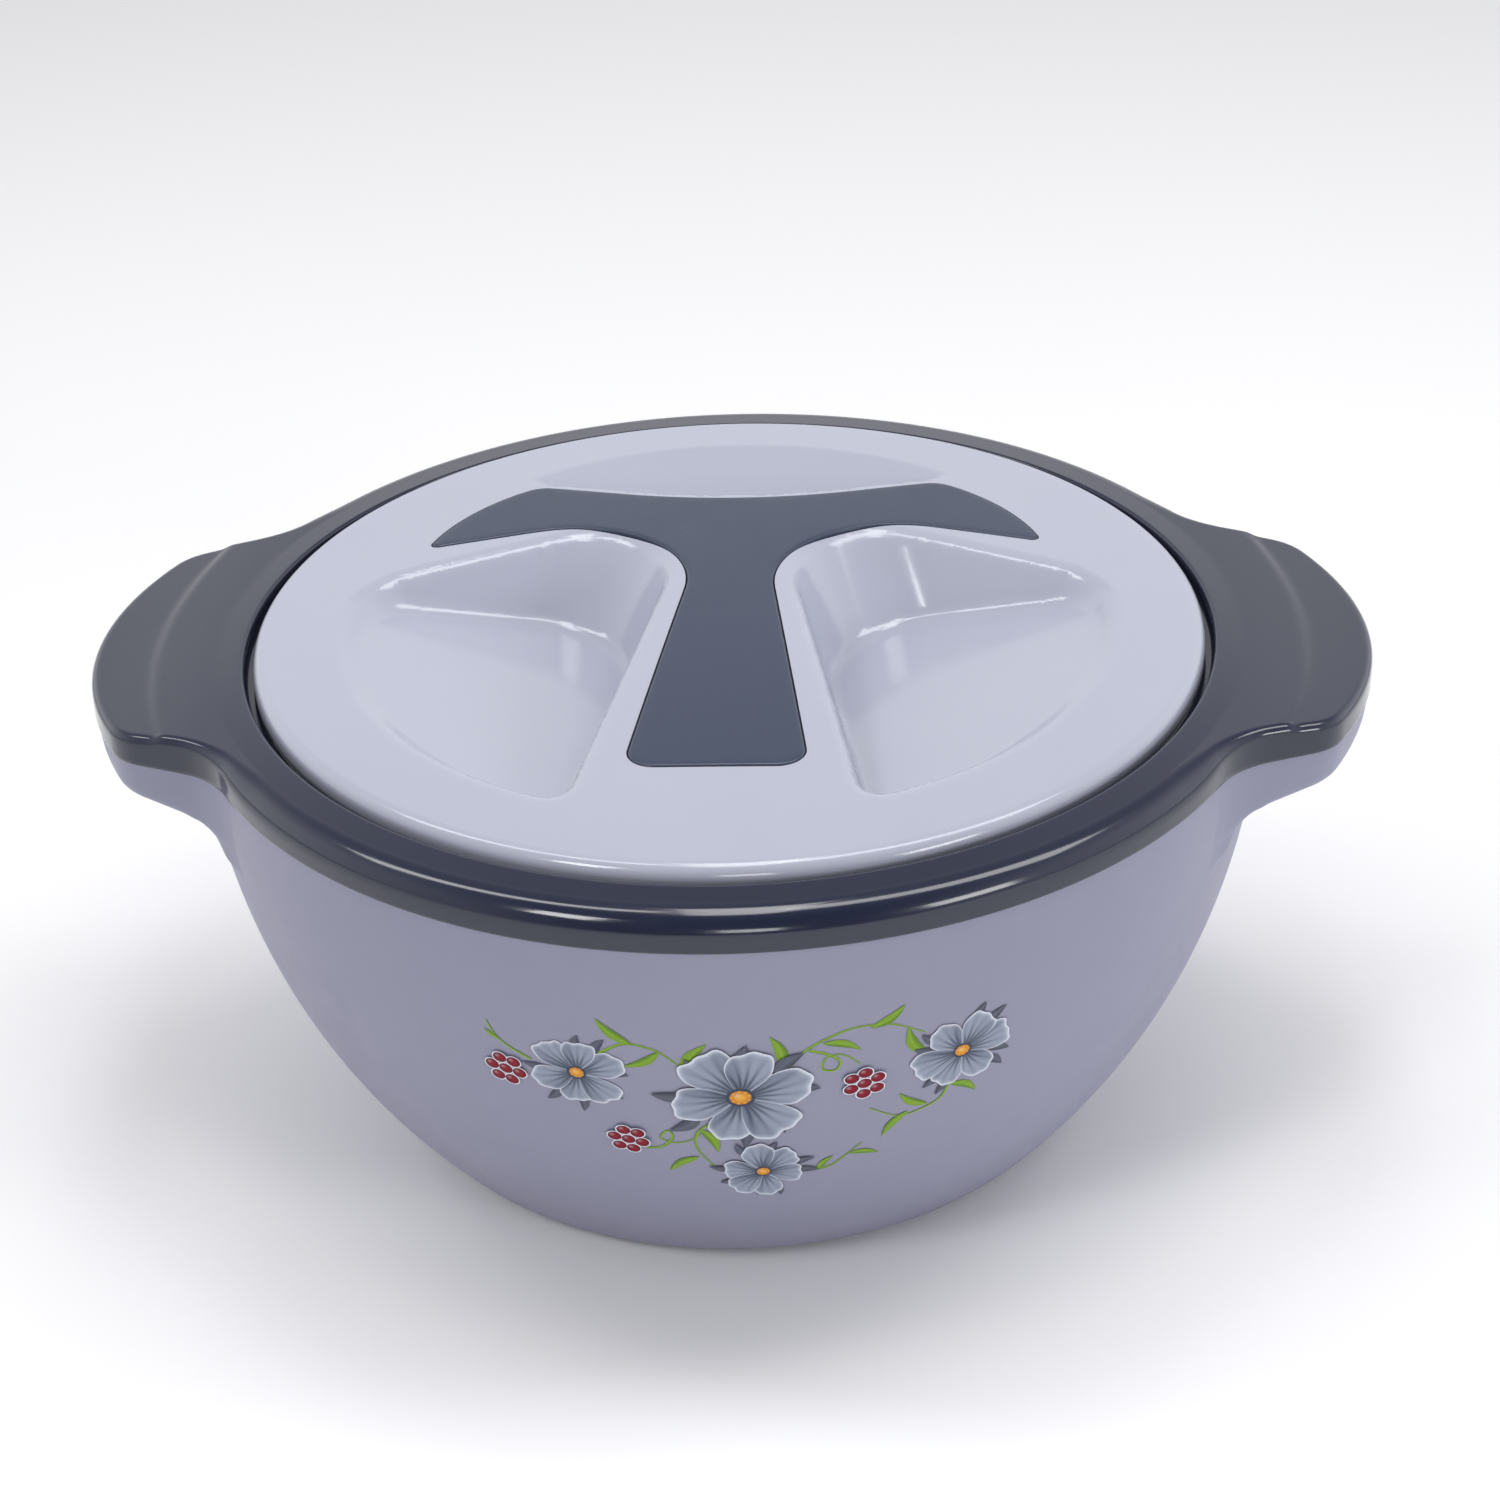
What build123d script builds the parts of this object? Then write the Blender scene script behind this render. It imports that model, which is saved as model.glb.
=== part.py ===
"""Round insulated food server: a foamed bowl with two side lugs, a rim collar and a twist-and-lift lid.

Frame: +Z up, +X through the two side lugs, -Y towards the stem of the lid's T-shaped grip.
The origin is the centre of the foot, on the surface that the server stands on. Millimetres.
"""
from build123d import *
from math import cos, hypot, radians, sin, sqrt, tan
import os

# ---- bowl skin -------------------------------------------------------------------------------
rim_height = 126.0              # foot to the joint between the bowl skin and the collar
rim_radius = 141.6              # outside of the bowl skin at that joint
foot_radius = 93.8              # where the side arc would meet the floor, before it is rounded
foot_round = 14.0               # rounding between side and foot
foot_recess_radius = 80.0       # shallow hollow under the foot
foot_recess_depth = 2.0
skin = 2.4                      # wall of every moulded piece

# ---- collar and side lugs --------------------------------------------------------------------
collar_overhang = 0.9           # collar stands this far outside the bowl skin
collar_top = 10.6               # height of the collar's inner lip above the joint
collar_slope = 0.7              # fall of the collar's flat top, from its inner lip to its shoulder
shoulder_round = 6.4            # rounded outer shoulder of the collar
lug_reach = 27.5                # how far a lug stands out of the collar
lug_tip_radius = 94.0           # plan curve of a lug's end
lug_side_point = (150.0, 53.0)  # a point of a lug's side, at the reference collar radius of 142.5
lug_side_angle = 160.0          # direction of that side, from +X
lug_corner_round = 15.0         # plan rounding of the lug's two corners
lug_flare_round = 26.0          # plan rounding where the lug's side meets the collar
lug_spread = 34.0               # half the angle over which a lug joins the collar
lug_tip_fall = 2.6              # the lug's top falls by this much from the collar to the tip
lug_edge_round = 2.4            # rounded upper edge of the lug
lug_inset = 0.8                 # the light tray lies this far inside the dark lug top
tray_root_depth = 13.5          # the tray's depth below the joint, at the bowl
tray_tip_depth = 7.0            # and at its tip
tray_round = 4.0                # rounded lower edge of the tray

# ---- lid -------------------------------------------------------------------------------------
lid_radius = 126.0              # outside of the lid
lid_gap = 2.5                   # open groove between the lid and the collar
lid_rise = 13.0                 # height of the lid's edge above the bowl joint
lid_dome = 2.5                  # crown of the lid's top over its edge
lid_edge_round = 3.6
lid_border = 25.0               # flat border between the lid's edge and its finger wells
well_stem_wall = ((20.8, 1.0), (35.8, -91.5))    # plan line of a well's wall beside the stem
well_arm_wall = ((97.0, 21.0), (56.5, 40.7))     # plan line of a well's wall under the arm
well_stem_draft = 14.0          # slopes of the three walls, from upright
well_arm_draft = 34.0
well_rim_draft = 28.0
well_corner_round = 26.0        # plan rounding between the two straight walls
well_end_round = 7.0            # rounding at the two ends of the rim wall
well_depths = (                 # three points of a well's sloping floor
    (88.0, 17.0, -7.4),
    (38.0, 26.0, -20.5),
    (70.0, -60.0, -4.2),
)
well_floor_round = 5.0
well_lip_round = 4.0
dish_centre = 14.6              # the thumb dish behind the grip is a shallow ball-shaped scoop:
dish_radius = 89.4              # its circle on the lid's top, about a point behind the middle
dish_ball = 300.0               # and the radius of the ball
dish_front_gap = 2.6            # band between the grip's back edge and the dish

# ---- grip inlay ------------------------------------------------------------------------------
inlay_proud = 0.35              # the inlay stands this far above the lid's top
inlay_seat = 1.9                # depth of its seat below the lid's edge
inlay_gap = 0.3                 # seam between the inlay and the lid
inlay_edge_round = 0.8
stem_end = -80.8
stem_half_width = 24.3          # half width at the stem's end
stem_corner_round = 7.0
neck_corner = (6.0, 63.6)       # where the stem's side and the arm's front edge would meet
neck_round = 34.0
arm_tip = (84.9, 40.7)
arm_tip_round = 1.6
arm_round_point = (75.0, 61.5)  # a point of the arm's rounded end
arm_shoulder = (57.0, 79.0)
arm_shoulder_round = 8.0
arm_back = (34.0, 73.3)         # end of the shallow hollow in the grip's back edge
back_valley = 69.0              # and its lowest point
peg_radius = 2.6
peg_places = ((0.0, -66.0), (0.0, -20.0), (56.0, 63.0), (-56.0, 63.0))

# ---- lid lining and lock ---------------------------------------------------------------------
lid_skirt = 6.4                 # depth of the lid's skirt below its edge
liner_radius = 117.5            # outside of the lining's plug
liner_depth = 29.0              # the plug's underside below the lid's edge
liner_draft = 1.6               # the plug narrows by this much towards its floor
gasket_height = 1.3
gasket_outer = 125.5
bayonet_count = 4
twist_angle = 30.0              # turn from released to locked
tab_width = 24.0                # angular widths of the collar's tabs and the lining's lugs
key_width = 18.0
tab_height = 2.8
tab_rise = 3.0                  # a tab's upper face below the collar's ledge by its height less this
key_height = 3.7
key_gap = 0.5                   # running gap above a key, under its tab
stop_width = 2.0                # end stop behind each tab, in degrees

# ---- steel bowl and filling ------------------------------------------------------------------
steel = 0.8
bowl_mouth_radius = 118.0
bowl_mouth_drop = 8.6           # mouth of the steel bowl below the joint
bowl_bottom_height = 20.0
bowl_bottom_radius = 86.9
bowl_bottom_round = 20.0
flange_width = 8.0
seal_height = 1.6
foam_gap = 0.1                  # skin of air round the foam, so that no two solids share space
plug_radius = 6.0
plug_head_radius = 9.0
plug_head_height = 1.2

# ---- fits ------------------------------------------------------------------------------------
running_gap = 0.3               # between two pieces that move against each other
plug_gap = 0.7                  # between the lining and the collar's tabs
fit_gap = 0.2                   # between two pieces that are pressed or bonded together
ledge_width = 7.5               # the collar's ledge, from its outer wall to its bore

# ---- worked-out places -----------------------------------------------------------------------
collar_radius = rim_radius + collar_overhang
collar_lip_height = rim_height + collar_top
lid_edge_height = rim_height + lid_rise
groove_radius = lid_radius + lid_gap
bore_radius = groove_radius - ledge_width
skirt_bottom = lid_edge_height - lid_skirt
ledge_height = skirt_bottom - gasket_height - running_gap
bowl_mouth_height = rim_height - bowl_mouth_drop
bore_bottom = bowl_mouth_height + seal_height
liner_floor = lid_edge_height - liner_depth
tab_top = ledge_height - tab_height + (tab_rise - tab_height)
tab_bottom = tab_top - tab_height
tab_radius = liner_radius + plug_gap
key_top = tab_bottom - key_gap
well_radius = lid_radius - lid_border
shell_floor = foot_recess_depth + skin
lug_tip = collar_radius + lug_reach
dome_ball = (lid_radius**2 + lid_dome**2) / (2 * lid_dome)
beyond = 8.0                    # overshoot of a cutting body past what it cuts
turning_plane = Plane(origin=(0, 0, 0), x_dir=(0, -1, 0), z_dir=(-1, 0, 0))


# ---- shared shapes ---------------------------------------------------------------------------
def side_arc(top_radius, top_height, low_radius, low_height):
    """Centre distance and radius of the side arc that ends upright at its top."""
    step = top_radius - low_radius
    radius = ((top_height - low_height) ** 2 + step**2) / (2 * step)
    return top_radius - radius, radius


def bowl_body(arc, arc_top, offset, low, high, corner):
    """Solid bowl inside a side arc moved outwards by offset, between two heights."""

    def radius_at(height):
        return arc[0] + sqrt((arc[1] + offset) ** 2 - (arc_top - height) ** 2)

    middle = (low + high) / 2
    with BuildPart() as body:
        with BuildSketch(turning_plane) as section:
            with BuildLine():
                Polyline((radius_at(high), high), (0, high), (0, low), (radius_at(low), low))
                ThreePointArc(
                    (radius_at(low), low), (radius_at(middle), middle), (radius_at(high), high)
                )
            make_face()
            fillet(section.vertices().sort_by_distance((radius_at(low), low))[0], corner)
        revolve(axis=Axis.Z)
    return body.part


def turned(points):
    """Ring or disc turned about the Z axis from a closed outline of (radius, height) points."""
    with BuildPart() as ring:
        with BuildSketch(turning_plane):
            with BuildLine():
                Polyline(*points, close=True)
            make_face()
        revolve(axis=Axis.Z)
    return ring.part


def collar_outline(height, inset):
    """Plan outline of the collar with both lugs, moved inwards by inset."""
    shift = collar_radius - 142.5
    side = (lug_side_point[0] + shift, lug_side_point[1])
    along = (cos(radians(lug_side_angle)), sin(radians(lug_side_angle)))
    outer = (side[0] - 40 * along[0], side[1] - 40 * along[1])
    inner = (side[0] + 60 * along[0], side[1] + 60 * along[1])
    tip_centre = lug_tip - lug_tip_radius
    with BuildSketch(Plane.XY.offset(height)) as lug:
        with BuildLine():
            Polyline(
                outer, inner, (0, inner[1]), (0, -inner[1]), (inner[0], -inner[1]),
                (outer[0], -outer[1]), close=True,
            )
        make_face()
        with Locations((tip_centre, 0)):
            Circle(lug_tip_radius, mode=Mode.INTERSECT)
        corners = lug.vertices().filter_by(lambda vertex: vertex.X > side[0])
        fillet(corners.sort_by(Axis.X)[-2:], lug_corner_round)
    with BuildSketch(Plane.XY.offset(height)) as outline:
        Circle(collar_radius)
        add(lug.sketch)
        add(lug.sketch.mirror(Plane.YZ))
        flares = outline.vertices().filter_by(
            lambda vertex: abs(hypot(vertex.X, vertex.Y) - collar_radius) < 0.01
            and abs(vertex.Y) > 1
        )
        fillet(flares, lug_flare_round)
        if inset:
            offset(amount=-inset, mode=Mode.REPLACE)
    return outline.sketch


def ring_sectors(inner, outer, low, high, width, first):
    """Equal blocks round the Z axis between two radii and two heights, first one at an angle."""
    half = radians(width / 2)
    reach = 2 * outer
    with BuildPart() as sectors:
        for index in range(bayonet_count):
            turn = first + index * 360 / bayonet_count
            with BuildSketch(Plane.XY.offset(low).rotated((0, 0, turn))):
                Circle(outer)
                Circle(inner, mode=Mode.SUBTRACT)
                with BuildLine():
                    Polyline(
                        (0, 0), (reach * cos(half), -reach * sin(half)),
                        (reach * cos(half), reach * sin(half)), close=True,
                    )
                make_face(mode=Mode.INTERSECT)
            extrude(amount=high - low)
    return sectors.part


def dome_block(radius, low, rise):
    """Disc from a height up to the lid's crowned top, raised by rise."""
    ball = dome_ball + rise
    ball_centre = lid_edge_height + lid_dome - dome_ball
    with BuildPart() as block:
        with Locations((0, 0, low)):
            Cylinder(
                radius, lid_edge_height + beyond - low,
                align=(Align.CENTER, Align.CENTER, Align.MIN), rotation=(0, 0, -90),
            )
        with Locations((0, 0, ball_centre)):
            Sphere(ball, rotation=(0, 90, 0), mode=Mode.INTERSECT)
    return block.part


def wall_plane(wall, draft, grow):
    """Plane of a well's wall: its plan line at the lid's edge height, leaning by its draft."""
    start, stop = (Vector(x, y, lid_edge_height) for x, y in wall)
    along = (stop - start).normalized()
    into_well = Vector(-along.Y, along.X, 0)
    lean = radians(draft)
    outward = into_well * -cos(lean) + Vector(0, 0, -sin(lean))
    return Plane(origin=start + outward * grow, x_dir=along, z_dir=outward)


def well_block(grow, floor_round):
    """Body that fills the right-hand finger well, grown by grow on every side."""
    stem_plane = wall_plane(well_stem_wall, well_stem_draft, grow)
    arm_plane = wall_plane(well_arm_wall, well_arm_draft, grow)
    floor_points = [Vector(x, y, lid_edge_height + z) for x, y, z in well_depths]
    across = floor_points[1] - floor_points[0]
    downward = across.cross(floor_points[2] - floor_points[0]).normalized()
    downward = downward if downward.Z < 0 else downward * -1
    floor_plane = Plane(origin=floor_points[0] + downward * grow, z_dir=downward)
    low = min(z for x, y, z in well_depths) - 3 * beyond
    slope = tan(radians(well_rim_draft))
    rim = well_radius + grow / cos(radians(well_rim_draft))
    with BuildPart() as block:
        with BuildSketch(turning_plane):
            with BuildLine():
                Polyline(
                    (0, lid_edge_height + low), (rim + low * slope, lid_edge_height + low),
                    (rim + beyond * slope, lid_edge_height + beyond), (0, lid_edge_height + beyond),
                    close=True,
                )
            make_face()
        revolve(axis=Axis.Z)
        for plane in (stem_plane, arm_plane, floor_plane):
            split(bisect_by=plane, keep=Keep.BOTTOM)
        upright = block.edges().filter_by(lambda edge: abs((edge % 0.5).Z) > 0.6)
        corner, *ends = upright.sort_by(lambda edge: hypot((edge @ 0.5).X, (edge @ 0.5).Y))
        fillet(corner, well_corner_round + grow)
        upright = block.edges().filter_by(
            lambda edge: abs((edge % 0.5).Z) > 0.6 and hypot((edge @ 0.5).X, (edge @ 0.5).Y) > rim / 1.3
        )
        fillet(upright, well_end_round + grow)
        if floor_round:
            floor = block.faces().filter_by(
                lambda face: face.geom_type == GeomType.PLANE
                and abs(face.normal_at().dot(downward)) > 0.9999
            )
            fillet(floor.sort_by(Axis.Z)[0].edges(), floor_round)
    return block.part


def inlay_outline(height, grow):
    """Plan outline of the T-shaped grip inlay, grown by grow."""
    back_left = (-arm_back[0], arm_back[1])
    with BuildSketch(Plane.XY.offset(height)) as outline:
        with BuildLine():
            Polyline((0, stem_end), (stem_half_width, stem_end), neck_corner, arm_tip)
            ThreePointArc(arm_tip, arm_round_point, arm_shoulder)
            Line(arm_shoulder, arm_back)
            mirror(about=Plane.YZ)
            ThreePointArc(back_left, (0, back_valley), arm_back)
        make_face()
        for corner, rounding in (
            ((stem_half_width, stem_end), stem_corner_round),
            (neck_corner, neck_round),
            (arm_tip, arm_tip_round),
            (arm_shoulder, arm_shoulder_round),
        ):
            for side in (1, -1):
                place = (side * corner[0], corner[1])
                fillet(outline.vertices().sort_by_distance(place)[0], rounding)
        if grow:
            offset(amount=grow, mode=Mode.REPLACE)
    return outline.sketch


def dish_block(grow):
    """Body that fills the thumb dish behind the grip, grown by grow."""
    drop = sqrt(dish_ball**2 - dish_radius**2)
    front = back_valley + dish_front_gap - grow
    rise = arm_back[1] - back_valley
    slant = (arm_shoulder[1] - arm_back[1]) / (arm_shoulder[0] - arm_back[0])
    side = dish_radius + beyond
    turn = (arm_back[0], front + rise)
    corner = (side, front + rise + slant * (side - arm_back[0]))
    with BuildPart() as block:
        with BuildSketch(Plane.XY.offset(lid_edge_height - 2 * beyond)):
            with BuildLine():
                Polyline(turn, corner, (side, dish_centre + side), (0, dish_centre + side))
                mirror(about=Plane.YZ)
                ThreePointArc((-turn[0], turn[1]), (0, front), turn)
            make_face()
        extrude(amount=3 * beyond)
        with Locations((0, dish_centre, lid_edge_height + drop)):
            Sphere(dish_ball + grow, rotation=(0, -90, 0), mode=Mode.INTERSECT)
    return block.part


def seat_block(grow):
    """Body that fills the inlay's seat in the lid, grown by grow."""
    outline = inlay_outline(lid_edge_height - inlay_seat - grow, grow + inlay_gap)
    with BuildPart() as block:
        add(outline)
        extrude(amount=inlay_seat + grow + beyond)
    return block.part


def recess_blocks(grow, floor_round=0):
    """What sinks into the lid's top: both wells, the thumb dish and the inlay's seat."""
    well = well_block(grow, floor_round)
    return [well, well.mirror(Plane.YZ), dish_block(grow), seat_block(grow)]


shell_arc = side_arc(rim_radius, rim_height, foot_radius, 0)
steel_arc = side_arc(bowl_mouth_radius, bowl_mouth_height, bowl_bottom_radius, bowl_bottom_height)


def lug_fall_plane(drop):
    """Sloping plane along a right-hand lug's top, lowered by drop."""
    start = Vector(groove_radius, 0, collar_lip_height - collar_slope / 2 - drop)
    fall = Vector(lug_tip - groove_radius, 0, -lug_tip_fall)
    return Plane(origin=start, x_dir=fall, z_dir=fall.cross(Vector(0, 1, 0)))


def tray_plane(drop):
    """Sloping plane along a right-hand tray's underside, raised by drop."""
    start = Vector(rim_radius, 0, rim_height - tray_root_depth + drop)
    rise = Vector(lug_reach, 0, tray_root_depth - tray_tip_depth)
    return Plane(origin=start, x_dir=rise, z_dir=rise.cross(Vector(0, 1, 0)))


def lug_body(low, high, inset, plane, keep, start_radius):
    """Right-hand part of the collar's plan, between two heights, cut by a sloping plane."""
    outline = collar_outline(low, inset)
    start = start_radius * cos(radians(lug_spread))
    with BuildPart() as body:
        add(outline)
        extrude(amount=high - low)
        with Locations((start, 0, (low + high) / 2)):
            Box(
                lug_tip, 2 * lug_tip, 2 * (high - low),
                align=(Align.MIN, Align.CENTER, Align.CENTER), mode=Mode.INTERSECT,
            )
        split(bisect_by=plane, keep=keep)
    return body.part


def finish(builder, name):
    """Label a finished piece and write its STEP file."""
    builder.part.label = name
    export_step(builder.part, f"parts/{name}.step")


os.makedirs("parts", exist_ok=True)


# ---- outer shell: the light bowl skin with a hollow tray under each lug -----------------------
tray_low = rim_height - 2 * tray_root_depth
shell_solid = bowl_body(shell_arc, rim_height, 0, 0, rim_height, foot_round)
shell_space = bowl_body(shell_arc, rim_height, -skin, shell_floor, rim_height, foot_round)
tray = lug_body(tray_low, rim_height, lug_inset, tray_plane(0), Keep.TOP, rim_radius)
tray_space = lug_body(tray_low, rim_height, lug_inset + skin, tray_plane(skin), Keep.TOP, rim_radius)
tray_normal = tray_plane(0).z_dir

with BuildPart() as rounded_tray:
    add(tray)
    underside = rounded_tray.faces().filter_by(
        lambda face: abs(face.normal_at().dot(tray_normal)) > 0.9999
    )
    lower_edges = underside.sort_by(Axis.Z)[0].edges().filter_by(
        lambda edge: (edge @ 0.5).X > rim_radius * cos(radians(lug_spread)) + 1
    )
    fillet(lower_edges, tray_round)

with BuildPart() as outside_space:
    add(tray_space)
    add(shell_solid, mode=Mode.SUBTRACT)

with BuildPart() as outer_shell:
    add(shell_solid)
    add(rounded_tray.part)
    add(rounded_tray.part.mirror(Plane.YZ))
    Cylinder(
        foot_recess_radius, foot_recess_depth,
        align=(Align.CENTER, Align.CENTER, Align.MIN), mode=Mode.SUBTRACT,
    )
    Cylinder(plug_radius + fit_gap / 2, 3 * shell_floor, mode=Mode.SUBTRACT)
    add(outside_space.part, mode=Mode.SUBTRACT)
    add(outside_space.part.mirror(Plane.YZ), mode=Mode.SUBTRACT)
    add(shell_space, mode=Mode.SUBTRACT)
finish(outer_shell, "outer_shell")


# ---- rim collar: dark ring with the lug tops, the lid's ledge and the bayonet tabs -----------
lip_outer = rim_radius - skin - fit_gap
lip_inner = lip_outer - skin + 0.4
shoulder_height = collar_lip_height - collar_slope
with BuildPart() as collar_ring:
    with BuildSketch(turning_plane) as ring_section:
        with BuildLine():
            Polyline(
                (groove_radius, collar_lip_height),
                (groove_radius, ledge_height),
                (bore_radius, ledge_height),
                (bore_radius, bore_bottom),
                (bore_radius + skin, bore_bottom),
                (bore_radius + skin, ledge_height - skin),
                (groove_radius + skin, ledge_height - skin),
                (groove_radius + skin, shoulder_height - skin),
                (lip_inner, shoulder_height - skin),
                (lip_inner, rim_height - shoulder_round),
                (lip_outer, rim_height - shoulder_round),
                (lip_outer, rim_height),
                (collar_radius, rim_height),
                (collar_radius, shoulder_height),
                close=True,
            )
        make_face()
        section_points = ring_section.vertices()
        fillet(section_points.sort_by_distance((collar_radius, shoulder_height))[0], shoulder_round)
        fillet(section_points.sort_by_distance((groove_radius, collar_lip_height))[0], skin / 3)
    revolve(axis=Axis.Z)

lug_plate = lug_body(
    rim_height, shoulder_height, 0, lug_fall_plane(0), Keep.BOTTOM, groove_radius
)
lug_space = lug_body(
    rim_height - 1, shoulder_height - skin, skin, lug_fall_plane(skin), Keep.BOTTOM, groove_radius
)
plate_start = groove_radius * cos(radians(lug_spread))
with BuildPart() as lug_hollow:
    add(lug_space)
    Cylinder(collar_radius - skin, 4 * collar_lip_height, mode=Mode.SUBTRACT)

with BuildPart() as lug_top:
    add(lug_plate)
    upper_side = lug_top.faces().filter_by(lambda face: face.normal_at().Z > 0.99)
    upper_edges = upper_side.edges().filter_by(
        lambda edge: (edge @ 0.5).X > plate_start + 1 and abs((edge @ 0.5).Y) > 0.1
    )
    tip_edge = upper_side.edges().sort_by(Axis.X)[-1]
    fillet([*upper_edges, tip_edge], lug_edge_round)
    Cylinder(groove_radius + skin / 2, 4 * collar_lip_height, mode=Mode.SUBTRACT)
    Cylinder(collar_radius - skin, 2 * (shoulder_height - skin), mode=Mode.SUBTRACT)
    add(lug_hollow.part, mode=Mode.SUBTRACT)

tabs = ring_sectors(
    tab_radius, bore_radius + skin / 2, tab_bottom, tab_top, tab_width, 360 / bayonet_count / 2
)
stops = ring_sectors(
    tab_radius, bore_radius + skin / 2, key_top - key_height, tab_bottom, stop_width,
    360 / bayonet_count / 2 + tab_width / 2 - stop_width / 2,
)
with BuildPart() as rim_collar:
    add(collar_ring.part)
    add(lug_top.part)
    add(lug_top.part.mirror(Plane.YZ))
    add(tabs)
    add(stops)
finish(rim_collar, "rim_collar")


# ---- steel bowl with its flange, and the seal on it ------------------------------------------
flange_radius = bowl_mouth_radius + flange_width
bowl_outside = bowl_body(
    steel_arc, bowl_mouth_height, steel, bowl_bottom_height - steel, bowl_mouth_height,
    bowl_bottom_round + steel,
)
bowl_inside = bowl_body(
    steel_arc, bowl_mouth_height, 0, bowl_bottom_height, bowl_mouth_height, bowl_bottom_round
)
with BuildPart() as inner_bowl:
    add(bowl_outside)
    with Locations((0, 0, bowl_mouth_height)):
        Cylinder(flange_radius, steel, align=(Align.CENTER, Align.CENTER, Align.MAX))
    add(bowl_inside, mode=Mode.SUBTRACT)
finish(inner_bowl, "inner_bowl")

with BuildPart() as bowl_rim_seal:
    add(turned([
        (bore_radius - fit_gap, bowl_mouth_height),
        (bore_radius + skin + fit_gap, bowl_mouth_height),
        (bore_radius + skin + fit_gap, bore_bottom),
        (bore_radius - fit_gap, bore_bottom),
    ]))
finish(bowl_rim_seal, "bowl_rim_seal")


# ---- foam between the steel bowl and the skin ------------------------------------------------
foam_low = shell_floor + foam_gap
foam_shape = bowl_body(
    shell_arc, rim_height, -skin - foam_gap, foam_low, rim_height - shoulder_round - foam_gap,
    foot_round,
)
foam_neck = turned([
    (bore_radius + skin + foam_gap, bowl_mouth_height - 2),
    (lip_inner - foam_gap, bowl_mouth_height - 2),
    (lip_inner - foam_gap, shoulder_height - skin - foam_gap),
    (groove_radius + skin + foam_gap, shoulder_height - skin - foam_gap),
    (groove_radius + skin + foam_gap, ledge_height - skin - foam_gap),
    (bore_radius + skin + foam_gap, ledge_height - skin - foam_gap),
])
bowl_room = bowl_body(
    steel_arc, bowl_mouth_height, steel + foam_gap, bowl_bottom_height - steel - foam_gap,
    bowl_mouth_height, bowl_bottom_round + steel,
)
with BuildPart() as body_foam:
    add(foam_shape)
    add(foam_neck)
    add(bowl_room, mode=Mode.SUBTRACT)
    with Locations((0, 0, bowl_mouth_height - steel - foam_gap)):
        Cylinder(
            flange_radius + foam_gap, bore_bottom - bowl_mouth_height + steel + 2 * foam_gap,
            align=(Align.CENTER, Align.CENTER, Align.MIN), mode=Mode.SUBTRACT,
        )
        Cylinder(
            bore_radius + skin + foam_gap, shoulder_round,
            align=(Align.CENTER, Align.CENTER, Align.MIN), mode=Mode.SUBTRACT,
        )
finish(body_foam, "body_foam")

with BuildPart() as foam_fill_plug:
    with Locations((0, 0, foot_recess_depth)):
        Cylinder(plug_radius, skin, align=(Align.CENTER, Align.CENTER, Align.MIN))
        Cylinder(plug_head_radius, plug_head_height, align=(Align.CENTER, Align.CENTER, Align.MAX))
    fillet(foam_fill_plug.edges().sort_by(Axis.Z)[0], plug_head_height / 3)
finish(foam_fill_plug, "foam_fill_plug")


# ---- lid cover: crowned top with two finger wells, a thumb dish and the inlay's seat ---------
cover_inside = lid_radius - skin
cover_block = dome_block(lid_radius, liner_floor, 0)
cover_space = dome_block(cover_inside, liner_floor - 1, -skin)
below_skirt = turned([
    (cover_inside - fit_gap, liner_floor - 1),
    (lid_radius + 1, liner_floor - 1),
    (lid_radius + 1, skirt_bottom),
    (cover_inside - fit_gap, skirt_bottom),
])
recesses = recess_blocks(0, well_floor_round)
bosses = recess_blocks(skin)
with BuildPart() as cover_room:
    add(cover_space)
    for boss in bosses:
        add(boss, mode=Mode.SUBTRACT)


def lip_edges(builder, inside):
    """Edges where the crowned top meets the walls that lie inside a test."""
    crown = builder.faces().filter_by(GeomType.SPHERE).filter_by(
        lambda face: abs(face.radius - dome_ball) < 0.01
    )
    return crown.edges().filter_by(lambda edge: inside(edge @ 0.5))


with BuildPart() as lid_cover:
    add(cover_block)
    add(recesses[0], mode=Mode.SUBTRACT)
    add(recesses[1], mode=Mode.SUBTRACT)
    fillet(
        lip_edges(lid_cover, lambda point: hypot(point.X, point.Y) < lid_radius - 1),
        well_lip_round,
    )
    fillet(
        lid_cover.edges().filter_by(GeomType.CIRCLE).filter_by(
            lambda edge: abs(edge.radius - lid_radius) < 0.01
        ).group_by(Axis.Z)[-1],
        lid_edge_round,
    )
    add(recesses[2], mode=Mode.SUBTRACT)
    add(recesses[3], mode=Mode.SUBTRACT)
    add(cover_room.part, mode=Mode.SUBTRACT)
    add(below_skirt, mode=Mode.SUBTRACT)
    with BuildSketch(Plane.XY.offset(lid_edge_height - inlay_seat)):
        with Locations(*peg_places):
            Circle(peg_radius + fit_gap / 2)
    extrude(amount=-2 * skin, mode=Mode.SUBTRACT)
finish(lid_cover, "lid_cover")


# ---- lid inlay: dark T-shaped grip bar with four pegs ----------------------------------------
inlay_low = lid_edge_height - inlay_seat + fit_gap / 2
inlay_plan = inlay_outline(inlay_low, 0)
inlay_crown = dome_block(lid_radius, inlay_low - 1, inlay_proud)
with BuildPart() as lid_inlay:
    add(inlay_plan)
    extrude(amount=2 * beyond)
    add(inlay_crown, mode=Mode.INTERSECT)
    upper_rim = lid_inlay.faces().sort_by(Axis.Z)[-1].edges()
    fillet(upper_rim, inlay_edge_round)
    with BuildSketch(Plane.XY.offset(inlay_low)):
        with Locations(*peg_places):
            Circle(peg_radius)
    extrude(amount=-skin)
finish(lid_inlay, "lid_inlay")


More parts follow.
